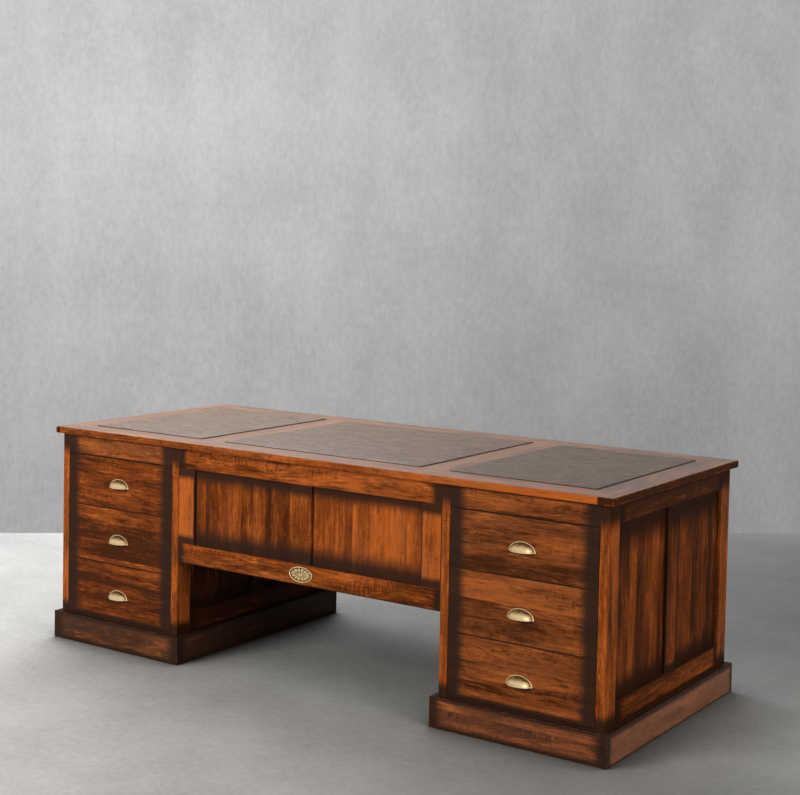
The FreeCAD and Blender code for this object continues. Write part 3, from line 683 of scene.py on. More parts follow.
def dress_boards(
    node, material, finish=lambda board: Finish(), grain=None, seen=None, arris=0.8 * MM,
    second=None, shape=None,
):
    """Replaces a node's plain solids by boards with softened arrises, grain and scorched margins.

    second is another material and the test of a face that gets it. shape works over a board's mesh.
    """
    seed = random.Random(node)
    values = []
    whole = bmesh.new()
    for faces in solids_of(node):
        board = Board(faces, finish, grain, seen)
        solid = softened(faces, arris)
        if shape:
            shape(board, solid)
        part = bpy.data.meshes.new("part")
        solid.to_mesh(part)
        solid.free()
        offset = Vector([seed.uniform(0.0, 40.0) for _ in range(3)])
        values += vertex_values(board, [vertex.co for vertex in part.vertices], offset)
        whole.from_mesh(part)
        bpy.data.meshes.remove(part)
    mesh = bpy.data.meshes.new(f"{node}_boards")
    whole.to_mesh(mesh)
    whole.free()
    for name in ("grain", "from_low", "to_high", "scorch_ends", "scorch_sides"):
        set_attribute(mesh, name, "FLOAT_VECTOR", [part for value in values for part in value[name]])
    for name in ("stain", "fading", "wildness"):
        set_attribute(mesh, name, "FLOAT", [value[name] for value in values])
    piece = add_piece(f"{node}_boards", mesh, material, node)
    if second:
        mesh.materials.append(second[0])
        for face in mesh.polygons:
            face.material_index = 1 if second[1](face) else 0
    piece.modifiers.new("even_faces", "WEIGHTED_NORMAL").keep_sharp = True


# --- What is seen of each board, and how it is finished ---

PANEL_TONGUE = 8 * MM
BOTTOM_DRAWER_REACH = PLINTH_TOP + 20 * MM
IN_MIDDLE = 10 * MM
LOOKS_UP = 0.9
LOOKS_SIDEWAYS = 0.7
LOOKS_OUTWARD = 0.9
DRAWER_ENDS = (0.048, 0.050)

# The place past which the rear one or the right one of two panels starts.
REAR_OR_RIGHT = -50 * MM


def opening(node):
    """The lowest and highest corners of what a frame leaves open for its panels."""
    low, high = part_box(node)
    tongue = Vector((PANEL_TONGUE, PANEL_TONGUE, PANEL_TONGUE))
    return low + tongue, high - tongue


def seen_of_side_frame(pedestal):
    """What joints and plinth leave in sight of the boards of a pedestal's side frame."""
    low, high = opening(f"{pedestal}_side_panels")

    def seen(board):
        board.trim(Z, PLINTH_TOP, board.high.z)
        if not board.runs(Z):
            board.trim(Y, low.y, high.y)
        elif not board.reaches_top():
            board.trim(Z, low.z, high.z)

    return seen


def seen_of_modesty_frame(board):
    """What joints leave in sight of the boards of the modesty frame."""
    low, high = opening("modesty_panels")
    if board.runs(Z):
        board.trim(Z, low.z, high.z)


def seen_of_panel(board):
    """What the frame's groove leaves in sight of a panel."""
    for axis in board.axes[:2]:
        board.trim(axis, board.low[axis] + PANEL_TONGUE, board.high[axis] - PANEL_TONGUE)


def drawer_front_finish(board):
    """Drawer fronts: darker in the left pedestal, and darker along the foot of each bottom drawer as painted
    shade above the plinth.
    """
    bottom_drawer = board.low.z < BOTTOM_DRAWER_REACH
    sides = (0.013 if bottom_drawer else 0.001, 0.001)
    if board.high.x < 0.0:
        return Finish(DRAWER_ENDS, sides, -0.14, fading=0.05)
    return Finish(DRAWER_ENDS, sides, -0.08 if bottom_drawer else 0.03)


def drawer_rail_finish(_):
    """Rails above and below the drawers, and over the kneehole at the back: all alike."""
    return Finish(DRAWER_ENDS, (0.002, 0.006), -0.12)


def side_frame_finish(board):
    """Stiles, muntins and rails of the pedestals' sides. Their scorched tops, the dark upper rail and the
    darker boards in the kneehole are partly painted shade under the top and in the kneehole.
    """
    if board.runs(Z) and board.reaches_top():
        return Finish((0.040, 0.062), stain=0.10 if board.in_kneehole() else 0.20)
    # Partly painted shade of the kneehole.
    if board.in_kneehole():
        return Finish((0.040, 0.062), (0.006, 0.006), -0.40, fading=0.1)
    if board.runs(Z):
        return Finish((0.024, 0.070), (0.003, 0.003), -0.12, fading=0.2)
    # The upper rail's dark stain is partly painted shade under the top.
    if board.reaches_top():
        return Finish((0.030, 0.030), (0.002, 0.014), -0.42, fading=0.0, wildness=0.5)
    return Finish((0.045, 0.030), (0.012, 0.006), fading=0.6)


def side_panel_finish(board):
    """Panels of the pedestals' sides: darkest in the kneehole and deeply scorched at the top, both partly
    painted shade.
    """
    # Partly painted shade of the kneehole.
    if board.in_kneehole():
        return Finish((0.050, 0.046), (0.012, 0.008), -0.42, fading=0.1)
    behind = board.low.y > REAR_OR_RIGHT
    return Finish((0.050, 0.070), (0.008, 0.006), -0.20 if behind else -0.11, fading=0.1)


def modesty_panel_finish(board):
    """Panels between the pedestals, of which the right one is a little lighter and more faded."""
    if board.low.x > REAR_OR_RIGHT:
        return Finish((0.050, 0.032), (0.004, 0.004), 0.12, fading=0.8)
    return Finish((0.050, 0.036), (0.004, 0.004), -0.01, fading=0.4)


def modesty_frame_finish(board):
    """The muntin, the stiles, the upper rail and the lower rail between the pedestals."""
    if board.runs(Z) and abs(board.low.x + board.high.x) < IN_MIDDLE:
        return Finish((0.050, 0.036))
    if board.runs(Z):
        return Finish((0.026, 0.032), (0.003, 0.003), 0.42)
    if board.reaches_top():
        return Finish((0.032, 0.036), (0.003, 0.003), 0.12, fading=0.8, wildness=1.7)
    return Finish((0.026, 0.024), (0.003, 0.003), 0.05, fading=0.5, wildness=1.4)


def plinth_finish(board):
    """Plinth boards: darkest in the kneehole, partly as painted shade there, and lightest on the outer sides,
    partly as a painted sheen.
    """
    # Partly painted shade of the kneehole.
    if board.in_kneehole():
        return Finish((0.040, 0.040), (0.014, 0.010), -0.48, fading=0.1)
    # Outer side boards: lighter, partly a painted sheen.
    if board.runs(Y):
        return Finish((0.024, 0.020), (0.006, 0.014), 0.20)
    return Finish((0.040, 0.040), (0.014, 0.010), -0.20 if board.high.x < 0.0 else 0.04)


def top_finish(board):
    """Border boards and cross bars of the top; the long edges get lighter from left to right."""
    ends = (0.020, 0.052) if board.high.y < 0.0 and board.runs(X) else (0.012, 0.012)
    if board.runs(X):
        return Finish(ends, stain=0.30, stain_above=-0.06, drift=0.52)
    return Finish(ends, stain=-0.32, stain_above=-0.06)


def is_outer_side(face):
    """Whether a plinth's face is on the outer side of its pedestal."""
    from_middle = abs(face.center.x)
    return face.normal.x * face.center.x > LOOKS_OUTWARD * from_middle and from_middle > KNEEHOLE_REACH


def faces_sideways(face):
    """Whether a face looks to the left or the right."""
    return abs(face.normal.x) > LOOKS_SIDEWAYS


def is_edge_of_top(face):
    """Whether a face of the top doesn't look up."""
    return face.normal.z < LOOKS_UP


# --- Shapes worked over the boards ---

CLOSE_FIT = 0.75 * MM
TOP_ARRIS = 1.2 * MM
DENT_STEP = 9 * MM
DENT_DEPTH = 1.6 * MM
DENT_REACH = 1.2 * TOP_ARRIS
SAME_PLACE = 1e-6
UPWARD = Vector((0.0, 0.0, 1.0))

# Dents and smaller nicks: how closely they follow each other, per metre, how much is taken off each so
# that the shallowest vanish, how deep a nick is beside a dent, and how soon both reach the full depth.
DENTS, NICKS = 34.0, 90.0
DENT_FLOOR, NICK_FLOOR = 0.05, 0.2
NICK_SHARE = 0.6
DENT_GAIN = 1.6


def close_joints(board, solid):
    """Fits a drawer front closely into its opening."""
    for vertex in solid.verts:
        for axis in (X, Z):
            if vertex.co[axis] < board.low[axis] + TOUCHING:
                vertex.co[axis] -= CLOSE_FIT
            elif vertex.co[axis] > board.high[axis] - TOUCHING:
                vertex.co[axis] += CLOSE_FIT


def dent_top_arris(board, solid):
    """Small dents and dips along the outer arrises of the top, as years of use leave them."""
    along = board.axes[LONG]
    across = Vector([1.0 if axis == along else 0.0 for axis in range(3)])
    for n in range(1, int((board.high[along] - board.low[along]) / DENT_STEP)):
        place = across * (board.low[along] + n * DENT_STEP)
        whole = solid.verts[:] + solid.edges[:] + solid.faces[:]
        bmesh.ops.bisect_plane(solid, geom=whole, dist=SAME_PLACE, plane_co=place, plane_no=across)
    for vertex in solid.verts:
        place = vertex.co
        past, outward = max(
            (TOP_LOW.x - place.x, Vector((-1, 0, 0))), (place.x - TOP_HIGH.x, Vector((1, 0, 0))),
            (TOP_LOW.y - place.y, Vector((0, -1, 0))), (place.y - TOP_HIGH.y, Vector((0, 1, 0))),
            key=lambda pair: pair[0],
        )
        if past > -DENT_REACH and place.z > TOP_HIGH.z - DENT_REACH:
            dent = max(0.0, noise.noise(place * DENTS) - DENT_FLOOR)
            nick = max(0.0, noise.noise(place * NICKS) - NICK_FLOOR)
            dip = dent + NICK_SHARE * nick
            vertex.co -= (outward + UPWARD) * min(1.0, dip * DENT_GAIN) * DENT_DEPTH


def dress_desk_frame():
    """All the boards that don't move."""
    for pedestal in PEDESTALS:
        for side in ("outer", "inner"):
            dress_boards(
                f"{pedestal}_{side}_side_frame", FRAME_WOOD, finish=side_frame_finish,
                seen=seen_of_side_frame(pedestal), arris=1.0 * MM, second=(SIDE_FRAME_WOOD, faces_sideways),
            )
        dress_boards(
            f"{pedestal}_side_panels", SIDE_PANEL_WOOD, finish=side_panel_finish, grain=Z, seen=seen_of_panel,
        )
        dress_boards(f"{pedestal}_drawer_rails", FRONT_WOOD, finish=drawer_rail_finish)
        dress_boards(
            f"{pedestal}_plinth", PLINTH_WOOD, finish=plinth_finish, second=(PLINTH_SIDE_SHEEN_WOOD, is_outer_side),
        )
        dress_boards(f"{pedestal}_drawer_runners", INNER_WOOD)
    dress_boards(
        "modesty_frame", FRAME_WOOD, finish=modesty_frame_finish, seen=seen_of_modesty_frame, arris=1.2 * MM,
    )
    dress_boards("modesty_panels", PANEL_WOOD, finish=modesty_panel_finish, grain=Z, seen=seen_of_panel)
    dress_boards("kneehole_back_rail", FRONT_WOOD, finish=drawer_rail_finish)
    dress_boards(
        "top_border", TOP_WOOD, finish=top_finish, arris=TOP_ARRIS,
        second=(EDGE_WOOD, is_edge_of_top), shape=dent_top_arris,
    )
    for node in ("top_core_boards", "drawer_dividers", "base_boards", "top_fixing_blocks"):
        dress_boards(node, INNER_WOOD)


def dress_drawers():
    """The front and the box of every drawer."""
    for name in DRAWERS:
        dress_boards(
            f"{name}_front", RED_FRONT_WOOD if "_left_" in name else FRONT_WOOD,
            finish=drawer_front_finish, grain=X, arris=0.5 * MM, shape=close_joints,
        )
        dress_boards(f"{name}_box", INNER_WOOD)


# --- Leather insets ---

LEATHER_STEP = 6 * MM
LEATHER_ROLL = 3.5 * MM
# How much of each hide's colour and sheen is kept: less on the hides further right, as painted shade.
HIDE_PAINTED_SHADES = {"left": 1.0, "centre": 0.90, "right": 0.64}
FEWEST_STEPS = 8
FACE_FROM = 0.9
WIDE_DIP, FINE_DIP = 0.35 * MM, 0.25 * MM

# The rolled edge: how far in from the outline, as a share of the roll, and how far up, of the pad's height.
ROLL_SECTION = ((0.0, 0.0), (0.0, 0.45), (0.18, 0.75), (0.5, 0.94), (1.0, 1.0))


def hide_dip(x, y):
    """How far the face of the hide lies below its highest level."""
    wide = abs(noise.noise(Vector((x * 18.0, y * 26.0, 2.0))))
    fine = abs(noise.noise(Vector((x * 60.0, y * 75.0, 7.0))))
    return WIDE_DIP * wide + FINE_DIP * fine


def leather_mesh(name, low, high, shade):
    """A closed pad with a rolled upper edge, a faintly uneven face, and its painted shade there; the roll
    gets the full painted shade of the edge.
    """
    size = high - low

    def steps(length):
        """Places along a side of the pad, and how far up it has risen at each."""
        count = max(FEWEST_STEPS, round(length / LEATHER_STEP))
        inner = [LEATHER_ROLL + (length - 2 * LEATHER_ROLL) * n / count for n in range(1, count)]
        near = [share * LEATHER_ROLL for share, _ in ROLL_SECTION]
        rise = [lift for _, lift in ROLL_SECTION]
        return near + inner + [length - place for place in near[::-1]], rise + [1.0] * len(inner) + rise[::-1]

    across, across_rise = steps(size.x)
    along, along_rise = steps(size.y)
    places, shades = [], []
    for step_y, rise_y in zip(along, along_rise):
        for step_x, rise_x in zip(across, across_rise):
            lift = min(rise_x, rise_y)
            x, y = low.x + step_x, low.y + step_y
            places.append((x, y, low.z + size.z * lift - (hide_dip(x, y) if lift == 1.0 else 0.0)))
            shades.append(shade if lift > FACE_FROM else 0.0)
    count = len(across)
    starts = [j * count + i for j in range(len(along) - 1) for i in range(count - 1)]
    mesh = bpy.data.meshes.new(name)
    mesh.from_pydata(places, [], [(k, k + 1, k + 1 + count, k + count) for k in starts])
    set_attribute(mesh, "rubbed", "FLOAT", shades)
    pad = bmesh.new()
    pad.from_mesh(mesh)
    bmesh.ops.contextual_create(pad, geom=[edge for edge in pad.edges if edge.is_boundary])
    bmesh.ops.recalc_face_normals(pad, faces=pad.faces)
    for face in pad.faces:
        face.smooth = True
    pad.to_mesh(mesh)
    pad.free()
    return mesh


def make_insets():
    """The three leather insets of the top."""
    for inset, shade in HIDE_PAINTED_SHADES.items():
        node = f"leather_inset_{inset}"
        mesh = leather_mesh(f"{node}_hide", *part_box(node), shade)
        add_piece(f"{node}_hide", mesh, LEATHER, node)


# --- Cup pulls ---

CUP_INSIDE_RIM = 5.4 * MM
CUP_WALL = 1.8 * MM
LIP_HEIGHT = 2.6 * MM
LIP_PROUD = 0.9 * MM
CUP_COLUMNS = 40
CUP_ROWS = 18
CUP_INSIDE_RUBBED = 0.05
RIM_COLUMNS = 56
EAR_INSET = 2.6 * MM
EAR_HEIGHT = 1.6 * MM
EAR_SIDES = 16
POST_HALF_SPACING = 32 * MM
POST_HEIGHT = 9 * MM
POST_RADIUS = 3.5 * MM
POST_LENGTH = 8 * MM
POST_BEVEL = 0.5 * MM
SCREW_HEAD_RADIUS = 4.0 * MM
SCREW_SHANK_RADIUS = 2.0 * MM
INTO_FRONT = 0.1 * MM
INTO_POST = 0.5 * MM
SMOOTH_ANGLE = math.radians(50.0)

# Heights of the cup's rows of points through its lip, as shares of its height, and how much the dome adds.
LIP_SHARES = (0.0, 0.012, 0.03, 0.048, 0.066, 0.084, 0.10, 0.13)
DOME_SHARE = 0.867

# Section of the rim, in millimetres: in from its outline, out from the drawer front, and how rubbed it is.
RIM_SECTION = (
    (0.0, 0.0, 0.2), (0.0, 1.3, 0.45), (0.45, 2.3, 0.85), (1.3, 2.9, 1.0), (2.2, 2.7, 0.9),
    (2.9, 1.9, 0.5), (3.4, 1.1, 0.05), (4.6, 0.9, 0.0), (6.4, 0.9, 0.0), (6.4, 0.0, 0.0),
)
# An ear: its radius and how far out from the drawer front, in millimetres, and how rubbed it is.
EAR_PROFILE = ((3.0, 0.0, 0.4), (3.0, 1.0, 0.5), (2.6, 2.2, 0.9), (1.6, 3.0, 1.0), (0.4, 3.3, 1.0))
# A screw's head: share of its radius, back from the drawer front's inside in millimetres, and how rubbed.
HEAD_PROFILE = (
    (1.0, 0.0, 0.3), (1.0, 0.9, 0.6), (0.8, 1.9, 0.8), (0.45, 2.4, 0.8), (0.40, 1.0, 0.0), (0.05, 0.9, 0.0),
)


class Shell:
    """Grids of points gathered into one mesh, each point with how rubbed the brass is there; on the cup's
    dome the number is painted light.
    """

    def __init__(self):
        self.points, self.faces, self.rubbed = [], [], []

    def grid(self, rows, capped=("first", "last")):
        """Closed rows of (x, y, z, rubbed) points; capped names the end rows to fill."""
        start, count = len(self.points), len(rows[0])
        for row in rows:
            for x, y, z, rubbed in row:
                self.points.append((x, y, z))
                self.rubbed.append(rubbed)
        for j in range(len(rows) - 1):
            low, high = start + j * count, start + (j + 1) * count
            for i in range(count):
                k = (i + 1) % count
                self.faces.append((low + i, low + k, high + k, high + i))
        for name, j in (("first", 0), ("last", len(rows) - 1)):
            if name in capped:
                self.faces.append(tuple(start + j * count + i for i in range(count)))
        return start

    def turned(self, axis_x, axis_z, profile, sides):
        """A shape turned about an axis that points out of the drawer front: (radius, out, rubbed) points."""
        angles = [2 * math.pi * n / sides for n in range(sides)]
        self.grid([
            [(axis_x + radius * math.cos(a), -out, axis_z + radius * math.sin(a), rubbed) for a in angles]
            for radius, out, rubbed in profile
        ])

    def mesh(self, name):
        """The gathered grids as one mesh with outward faces."""
        mesh = bpy.data.meshes.new(name)
        mesh.from_pydata(self.points, [], self.faces)
        set_attribute(mesh, "rubbed", "FLOAT", self.rubbed)
        whole = bmesh.new()
        whole.from_mesh(mesh)
        bmesh.ops.recalc_face_normals(whole, faces=whole.faces)
        for edge in whole.edges:
            edge.smooth = not edge.is_manifold or edge.calc_face_angle() < SMOOTH_ANGLE
        for face in whole.faces:
            face.smooth = True
        whole.to_mesh(mesh)
        whole.free()
        return mesh


def dome_painted_light(share, angle):
    """How bright the cup's brass is: a painted highlight across its belly, painted shade under its crown, and
    brown towards its ends.
    """
    belly = math.exp(-(((share - 0.40) / 0.24) ** 2))
    crown = max(0.0, (share - 0.55) / 0.45)
    return math.sin(angle) ** 0.6 * (0.42 + 0.56 * belly) * (1.0 - 0.42 * crown)


def add_cup(shell, half_width, height, depth):
    """The domed cup, open below, with a rolled lip along its mouth."""
    cup_x, cup_z = half_width - CUP_INSIDE_RIM, height - CUP_INSIDE_RIM
    dome = [
        LIP_SHARES[-1] + DOME_SHARE * math.sin(0.5 * math.pi * n / CUP_ROWS) for n in range(1, CUP_ROWS + 1)
    ]
    rows = []
    for share in (*LIP_SHARES, *dome):
        outline = math.sqrt(1.0 - share**2)
        across = 2.0 * share * cup_z / LIP_HEIGHT - 1.0
        proud = LIP_PROUD * math.sqrt(max(0.0, 1.0 - across**2))
        outer_x, outer_out = cup_x * outline + proud, depth * outline + proud
        inner_x, inner_out = (cup_x - CUP_WALL) * outline, (depth - CUP_WALL) * outline
        outer, inner = [], []
        for n in range(CUP_COLUMNS + 1):
            angle = math.pi * n / CUP_COLUMNS
            x, out = math.cos(angle), math.sin(angle)
            rubbed = 1.0 if proud > 0.0 else dome_painted_light(share, angle)
            outer.append((outer_x * x, -outer_out * out, cup_z * share, rubbed))
            inner.append((inner_x * x, -inner_out * out, (cup_z - CUP_WALL) * share, CUP_INSIDE_RUBBED))
        rows.append(outer + inner[::-1])
    start = shell.grid(rows, capped=("last",))
    end = start + 2 * (CUP_COLUMNS + 1)
    for n in range(CUP_COLUMNS):
        shell.faces.append((start + n, start + n + 1, end - 2 - n, end - 1 - n))


def add_pull_rim(shell, half_width, height):
    """The flat plate round the cup with its raised bead, and a small round ear at each end."""
    rows = []
    for n in range(RIM_COLUMNS + 1):
        x, z = math.cos(math.pi * n / RIM_COLUMNS), math.sin(math.pi * n / RIM_COLUMNS)
        rows.append([
            ((half_width - inset * MM) * x, -out * MM, (height - inset * MM) * z, rubbed)
            for inset, out, rubbed in RIM_SECTION
        ])
    shell.grid(rows)
    ear = [(radius * MM, out * MM, rubbed) for radius, out, rubbed in EAR_PROFILE]
    for side in (-1, 1):
        shell.turned(side * (half_width - EAR_INSET), EAR_HEIGHT, ear, EAR_SIDES)


def add_pull_screws(shell, front_thickness):
    """Two posts in the cup and the screws that reach them from inside the drawer."""
    post = (
        (POST_RADIUS, 0.0, 0.1), (POST_RADIUS, POST_LENGTH - POST_BEVEL, 0.2),
        (POST_RADIUS - POST_BEVEL, POST_LENGTH, 0.4),
    )
    shank = ((SCREW_SHANK_RADIUS, INTO_FRONT - front_thickness, 0.3), (SCREW_SHANK_RADIUS, INTO_POST, 0.3))
    head = [
        (share * SCREW_HEAD_RADIUS, -front_thickness - back * MM, rubbed)
        for share, back, rubbed in HEAD_PROFILE
    ]
    for x in (-POST_HALF_SPACING, POST_HALF_SPACING):
        for profile, sides in ((post, 20), (shank, 12), (head, 24)):
            shell.turned(x, POST_HEIGHT, profile, sides)


def make_pulls():
    """A cup pull for every drawer, from one mesh."""
    low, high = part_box("front_left_top_drawer_pull")
    front_low, front_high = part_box("front_left_top_drawer_front")
    half_width, height = 0.5 * (high.x - low.x), high.z - low.z
    shell = Shell()
    add_cup(shell, half_width, height, front_low.y - low.y - LIP_PROUD)
    add_pull_rim(shell, half_width, height)
    add_pull_screws(shell, front_high.y - front_low.y)
    mesh = shell.mesh("cup_pull")
    for name in DRAWERS:
        low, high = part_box(f"{name}_pull")
        front_low, front_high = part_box(f"{name}_front")
        face_y, turn = (front_low.y, 0.0) if name.startswith("front") else (front_high.y, math.pi)
        place = (0.5 * (low.x + high.x), face_y, low.z)
        add_piece(f"{name}_cup_pull", mesh, BRASS, f"{name}_pull", place, turn)


# --- Oval boss on the modesty panel ---

BADGE_COLUMNS = 192
BADGE_ROWS = 40
BADGE_PETALS = 14
BADGE_FLUTES = 6
PIN_RADIUS = 1.5 * MM
PIN_HALF_SPACING = 30 * MM
PIN_SIDES = 12
INTO_BOSS = 0.5 * MM

# The patera's ground over the rail, and the heights of its parts over the ground, in millimetres.
PATERA_LEVEL = 1.5
PETAL_LIFT, BEAD_LIFT, FLUTE_LIFT, BUTTON_LIFT = 1.9, 1.7, 1.5, 2.1

# How far out its parts lie, as shares of its radius.
PETALS_IN, PETALS_OUT = 0.44, 0.95
BEAD_IN = 0.34
BUTTON_OUT = 0.12

# Section of the rim, in millimetres: in from its outline, out from the rail, and how rubbed it is.
BADGE_RIM = (
    (0.0, 0.0, 0.3), (0.0, 2.4, 0.5), (0.6, 3.4, 0.9), (1.6, 4.0, 1.0), (2.7, 3.8, 0.95),
    (3.5, 2.9, 0.6), (4.1, 1.7, 0.1), (5.2, 1.5, 0.0),
)


def petals(share, angle):
    """Relief of an oval patera: (height in millimetres, how rubbed) at a share of its radius."""
    if share > PETALS_OUT:
        return PATERA_LEVEL, 0.1
    if share > PETALS_IN:
        lobe = abs(math.cos(0.5 * BADGE_PETALS * angle)) ** 1.1
        arch = math.sin(math.pi * (PETALS_OUT - share) / (PETALS_OUT - PETALS_IN)) ** 0.7
        return PATERA_LEVEL + PETAL_LIFT * lobe * arch, lobe * arch
    if share > BEAD_IN:
        bead = math.sin(math.pi * (share - BEAD_IN) / (PETALS_IN - BEAD_IN))
        return PATERA_LEVEL + BEAD_LIFT * bead, bead
    flute = abs(math.cos(0.5 * BADGE_FLUTES * angle)) ** 1.3 * math.sin(math.pi * share / BEAD_IN) ** 0.8
    button = math.sqrt(max(0.0, 1.0 - (share / BUTTON_OUT) ** 2))
    return PATERA_LEVEL + max(FLUTE_LIFT * flute, BUTTON_LIFT * button), max(flute, button)


def make_badge():
    """An oval brass boss with a raised rim and a plain fluted patera, on two pins."""
    low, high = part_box("modesty_badge")
    rail_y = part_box("modesty_frame")[0].y
    half_x, half_z = 0.5 * (high.x - low.x), 0.5 * (high.z - low.z)
    angles = [2.0 * math.pi * n / BADGE_COLUMNS for n in range(BADGE_COLUMNS)]

    def ring(x, z, reliefs):
        """An oval row of points, each with its height in millimetres and how rubbed it is."""
        return [
            (x * math.cos(a), -out * MM, z * math.sin(a), rubbed) for a, (out, rubbed) in zip(angles, reliefs)
        ]

    rows = [
        ring(half_x - inset * MM, half_z - inset * MM, [(out, rubbed)] * BADGE_COLUMNS)
        for inset, out, rubbed in BADGE_RIM
    ]
    inset = BADGE_RIM[-1][0] * MM
    for step in range(1, BADGE_ROWS + 1):
        share = 1.0 - step / (BADGE_ROWS + 0.5)
        reliefs = [petals(share, a) for a in angles]
        rows.append(ring((half_x - inset) * share, (half_z - inset) * share, reliefs))
    shell = Shell()
    shell.grid(rows)
    pin = ((PIN_RADIUS, rail_y - high.y, 0.2), (PIN_RADIUS, INTO_BOSS, 0.2))
    for x in (-PIN_HALF_SPACING, PIN_HALF_SPACING):
        shell.turned(x, 0.0, pin, PIN_SIDES)
    place = (0.5 * (low.x + high.x), rail_y, 0.5 * (low.z + high.z))
    add_piece("oval_boss", shell.mesh("oval_boss"), BRASS, "modesty_badge", place)


# --- Camera ---

IMAGE_WIDTH, IMAGE_HEIGHT = 800, 795
CAMERA_PLACE = Vector((3.0008, -4.4098, 1.5488))
CAMERA_PITCH = -0.051
CAMERA_ROLL = 0.019
CAMERA_YAW = -0.613
CAMERA_FOCAL_PX = 1534.829
CAMERA_CENTRE_PX = (360.0, 300.0)
SENSOR_WIDTH = 36.0
CAMERA_RIGHT = Vector((math.cos(CAMERA_YAW), -math.sin(CAMERA_YAW), 0.0))


def camera_axes():
    """The camera's right, up and forward directions."""
    forward = Vector((
        math.sin(CAMERA_YAW) * math.cos(CAMERA_PITCH),
        math.cos(CAMERA_YAW) * math.cos(CAMERA_PITCH),
        math.sin(CAMERA_PITCH),
    ))
    up = CAMERA_RIGHT.cross(forward)
    rolled_right = CAMERA_RIGHT * math.cos(CAMERA_ROLL) + up * math.sin(CAMERA_ROLL)
    rolled_up = up * math.cos(CAMERA_ROLL) - CAMERA_RIGHT * math.sin(CAMERA_ROLL)
    return rolled_right, rolled_up, forward


def floor_point(column, row):
    """The point of the floor behind a pixel of the picture."""
    right, up, forward = camera_axes()
    ray = forward * CAMERA_FOCAL_PX
    ray += right * (column - CAMERA_CENTRE_PX[0]) - up * (row - CAMERA_CENTRE_PX[1])
    return CAMERA_PLACE - ray * (CAMERA_PLACE.z / ray.z)


def add_camera():
    """The camera at the viewing angle, its picture shifted as a view camera's is."""
    right, up, forward = camera_axes()
    data = bpy.data.cameras.new("camera")
    data.sensor_fit = "HORIZONTAL"
    data.sensor_width = SENSOR_WIDTH
    data.lens = CAMERA_FOCAL_PX / IMAGE_WIDTH * SENSOR_WIDTH
    data.shift_x = (0.5 * IMAGE_WIDTH - CAMERA_CENTRE_PX[0]) / IMAGE_WIDTH
    data.shift_y = (CAMERA_CENTRE_PX[1] - 0.5 * IMAGE_HEIGHT) / IMAGE_WIDTH
    camera = add_object("camera", data)
    turn = Matrix((right, up, -forward)).transposed()
    camera.matrix_world = Matrix.Translation(CAMERA_PLACE) @ turn.to_4x4()
    bpy.context.scene.camera = camera


# --- Floor and wall ---

WALL_FOOT_ROW = 533.0
WALL_MARGIN = 12.0
WALL_HEIGHT = 9.0
FLOOR_HALF_SIZE = 45.0
CLOSE_SHADE_REACH = 0.20
WIDE_SHADE_REACH = 1.0

# How far from the desk's middle the floor starts to fade into the surroundings, and where it has done so.
FLOOR_NEAR, FLOOR_FAR = 2.6, 4.4
# How far to the right of the desk's middle the floor's painted light is fullest and its painted shade
# deepest.
PAINTED_LIGHT_AT, PAINTED_SHADE_AT = -2.6, 0.9


def seen_directly(graph):
    """One for rays from the camera, a reflection or glass, and zero for those that carry light."""
    ray = graph.node("LightPath")
    seen, glossy, through = (
        graph.value(ray, f"Is {kind} Ray") for kind in ("Camera", "Glossy", "Transmission")
    )
    return graph.math("MAXIMUM", seen, graph.math("MAXIMUM", glossy, through))


def add_mixed(graph, output, share, first, second):
    """A mix of two shaders on the output of a material or the world."""
    graph.node(output, Surface=graph.apply("MixShader", (share, first, second)))


def concrete_level(place):
    """How light smooth concrete is from place to place, with faint clouds and grit."""
    cloud = place.noise((2.2, 2.2, 1.3), 7.0, 0.68)
    grit = place.noise((38.0, 38.0, 22.0), 3.0, 0.7)
    specks = place.noise((95.0, 95.0, 55.0), 2.0, 0.6).step(0.60, 0.74)
    pits = place.noise((80.0, 80.0, 46.0), 2.0, 0.6).step(0.62, 0.72)
    return cloud * 0.62 + grit * 0.40 + specks * 0.12 + 0.49 - pits * 0.14


def floor_material():
    """Pale matt concrete, with a painted pool of light to the left, painted shade to the right and painted
    contact shade near the desk, that fades into the surroundings a long way from the desk.
    """
    material, graph = new_material("studio_floor")
    place = graph.get("TexCoord", "Object")
    aside = graph.apply("VectorMath", (place, tuple(CAMERA_RIGHT)), "Value", operation="DOT_PRODUCT")
    colour = graph.mix(aside.step(PAINTED_LIGHT_AT, PAINTED_SHADE_AT), FLOOR_PAINTED_LIGHT, FLOOR_PAINTED_SHADE)
    # Ambient occlusion darkens the colour as painted shade close under and beside the desk.
    near, under = (
        graph.get("AmbientOcclusion", "AO", {"samples": 8}, Distance=reach)
        for reach in (CLOSE_SHADE_REACH, WIDE_SHADE_REACH)
    )
    shade = near.step(0.40, 1.0, 0.38, 1.0) * under.step(0.08, 0.62, 0.40, 1.0)
    matt = graph.get(
        "BsdfPrincipled", "BSDF", Base_Color=graph.dim(colour, concrete_level(place) * shade),
        Roughness=0.85, Specular_IOR_Level=0.2,
    )
    far = graph.apply("VectorMath", (place,), "Value", operation="LENGTH").step(FLOOR_NEAR, FLOOR_FAR)
    glow = graph.get("Emission", "Emission", Color=SURROUNDINGS)
    add_mixed(graph, "OutputMaterial", far * seen_directly(graph), matt, glow)
    return material


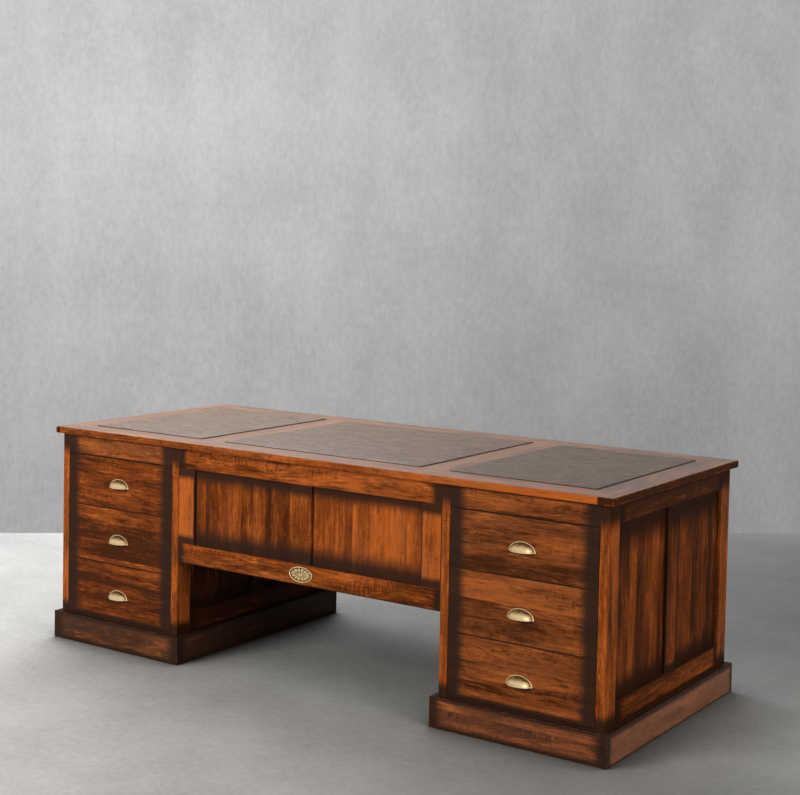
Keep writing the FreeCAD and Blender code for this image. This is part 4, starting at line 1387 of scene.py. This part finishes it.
def wall_material():
    """A pale plastered wall that is only seen, and only from its front: it blocks and returns no light. It
    glows in its own colour, with painted shade towards the right and towards its foot.
    """
    material, graph = new_material("studio_wall")
    place = graph.get("TexCoord", "Object")
    across, _, up = place.parts()
    # Painted shade: darker towards the right and towards the foot of the wall.
    shade = across.step(0.5, 3.3, 1.0, 0.70) * across.step(3.8, 7.0, 1.0, 0.45) * up.step(0.0, 2.2, 0.70, 1.0)
    colour = graph.dim(WALL_COLOUR, concrete_level(place) * shade)
    glow = graph.get("Emission", "Emission", Color=colour)
    clear = graph.get("BsdfTransparent", "BSDF")
    front = 1.0 - graph.get("NewGeometry", "Backfacing")
    add_mixed(graph, "OutputMaterial", front * seen_directly(graph), clear, glow)
    return material


def add_plane(name, corners, material):
    """A flat rectangle of the stage."""
    mesh = bpy.data.meshes.new(name)
    mesh.from_pydata(corners, [], [(0, 1, 2, 3)])
    mesh.materials.append(material)
    plane = add_object(name, mesh)
    return plane


def add_stage():
    """A wide pale floor and a plain wall behind the desk, square to the camera."""
    reach = FLOOR_HALF_SIZE
    corners = [(-reach, -reach, 0.0), (reach, -reach, 0.0), (reach, reach, 0.0), (-reach, reach, 0.0)]
    add_plane("studio_floor", corners, floor_material())
    left, right = (floor_point(column, WALL_FOOT_ROW) for column in (0.0, IMAGE_WIDTH))
    along = right - left
    start, end = -WALL_MARGIN, along.length + WALL_MARGIN
    corners = [(start, 0.0, 0.0), (end, 0.0, 0.0), (end, 0.0, WALL_HEIGHT), (start, 0.0, WALL_HEIGHT)]
    wall = add_plane("studio_wall", corners, wall_material())
    wall.location = left
    wall.rotation_euler.z = math.atan2(along.y, along.x)
    wall.visible_shadow = False


# --- Light ---

WORLD_STRENGTH = 0.055


def add_lamp(
    name, place, target, size, power, colour=WHITE_LIGHT, lights=True, mirrored=False, spread=math.pi,
):
    """A square soft box that points at a target, and lights surfaces, shows mirrored in them, or both."""
    data = bpy.data.lights.new(name, "AREA")
    data.shape = "SQUARE"
    data.size = size
    data.energy = power
    data.color = colour
    data.spread = spread
    lamp = add_object(name, data)
    lamp.location = place
    lamp.rotation_euler = (Vector(target) - Vector(place)).to_track_quat("-Z", "Y").to_euler()
    lamp.visible_camera = False
    lamp.visible_diffuse = lights
    lamp.visible_glossy = mirrored


def add_light():
    """A soft key light from the front left, weaker ones from other sides, a card for glints and the world."""
    add_lamp("key", (-1.8, -5.2, 2.6), (0.1, -0.2, 0.4), 2.6, 325.0, WARM_LIGHT)
    add_lamp("side", (4.9, -1.5, 1.7), (0.9, 0.0, 0.35), 2.2, 108.0, WARM_LIGHT)
    add_lamp("overhead", (-2.0, 0.8, 3.0), (-1.6, 0.4, 0.0), 1.8, 90.0, mirrored=True)
    add_lamp("rear", (-2.2, 4.6, 2.4), (0.0, 0.3, 0.4), 2.6, 120.0)
    add_lamp("floor_fill", (2.15, 0.35, 1.5), (2.15, 0.35, 0.0), 0.9, 5.4, spread=math.radians(90.0))
    add_lamp(
        "glint_card", (4.6, -3.2, 1.6), (0.0, -0.5, 0.5), 1.6, 130.0, WARM_LIGHT, lights=False, mirrored=True,
    )
    world = bpy.data.worlds.new("studio")
    bpy.context.scene.world = world
    world.use_nodes = True
    world.node_tree.nodes.clear()
    graph = Graph(world.node_tree)
    plain = graph.get("Background", "Background", Color=WHITE_LIGHT, Strength=WORLD_STRENGTH)
    seen = graph.get("Background", "Background", Color=SURROUNDINGS, Strength=1.0)
    add_mixed(graph, "OutputWorld", seen_directly(graph), plain, seen)


dress_desk_frame()
dress_drawers()
make_insets()
make_pulls()
make_badge()
add_stage()
add_camera()
add_light()
bpy.context.scene.view_settings.view_transform = "Standard"
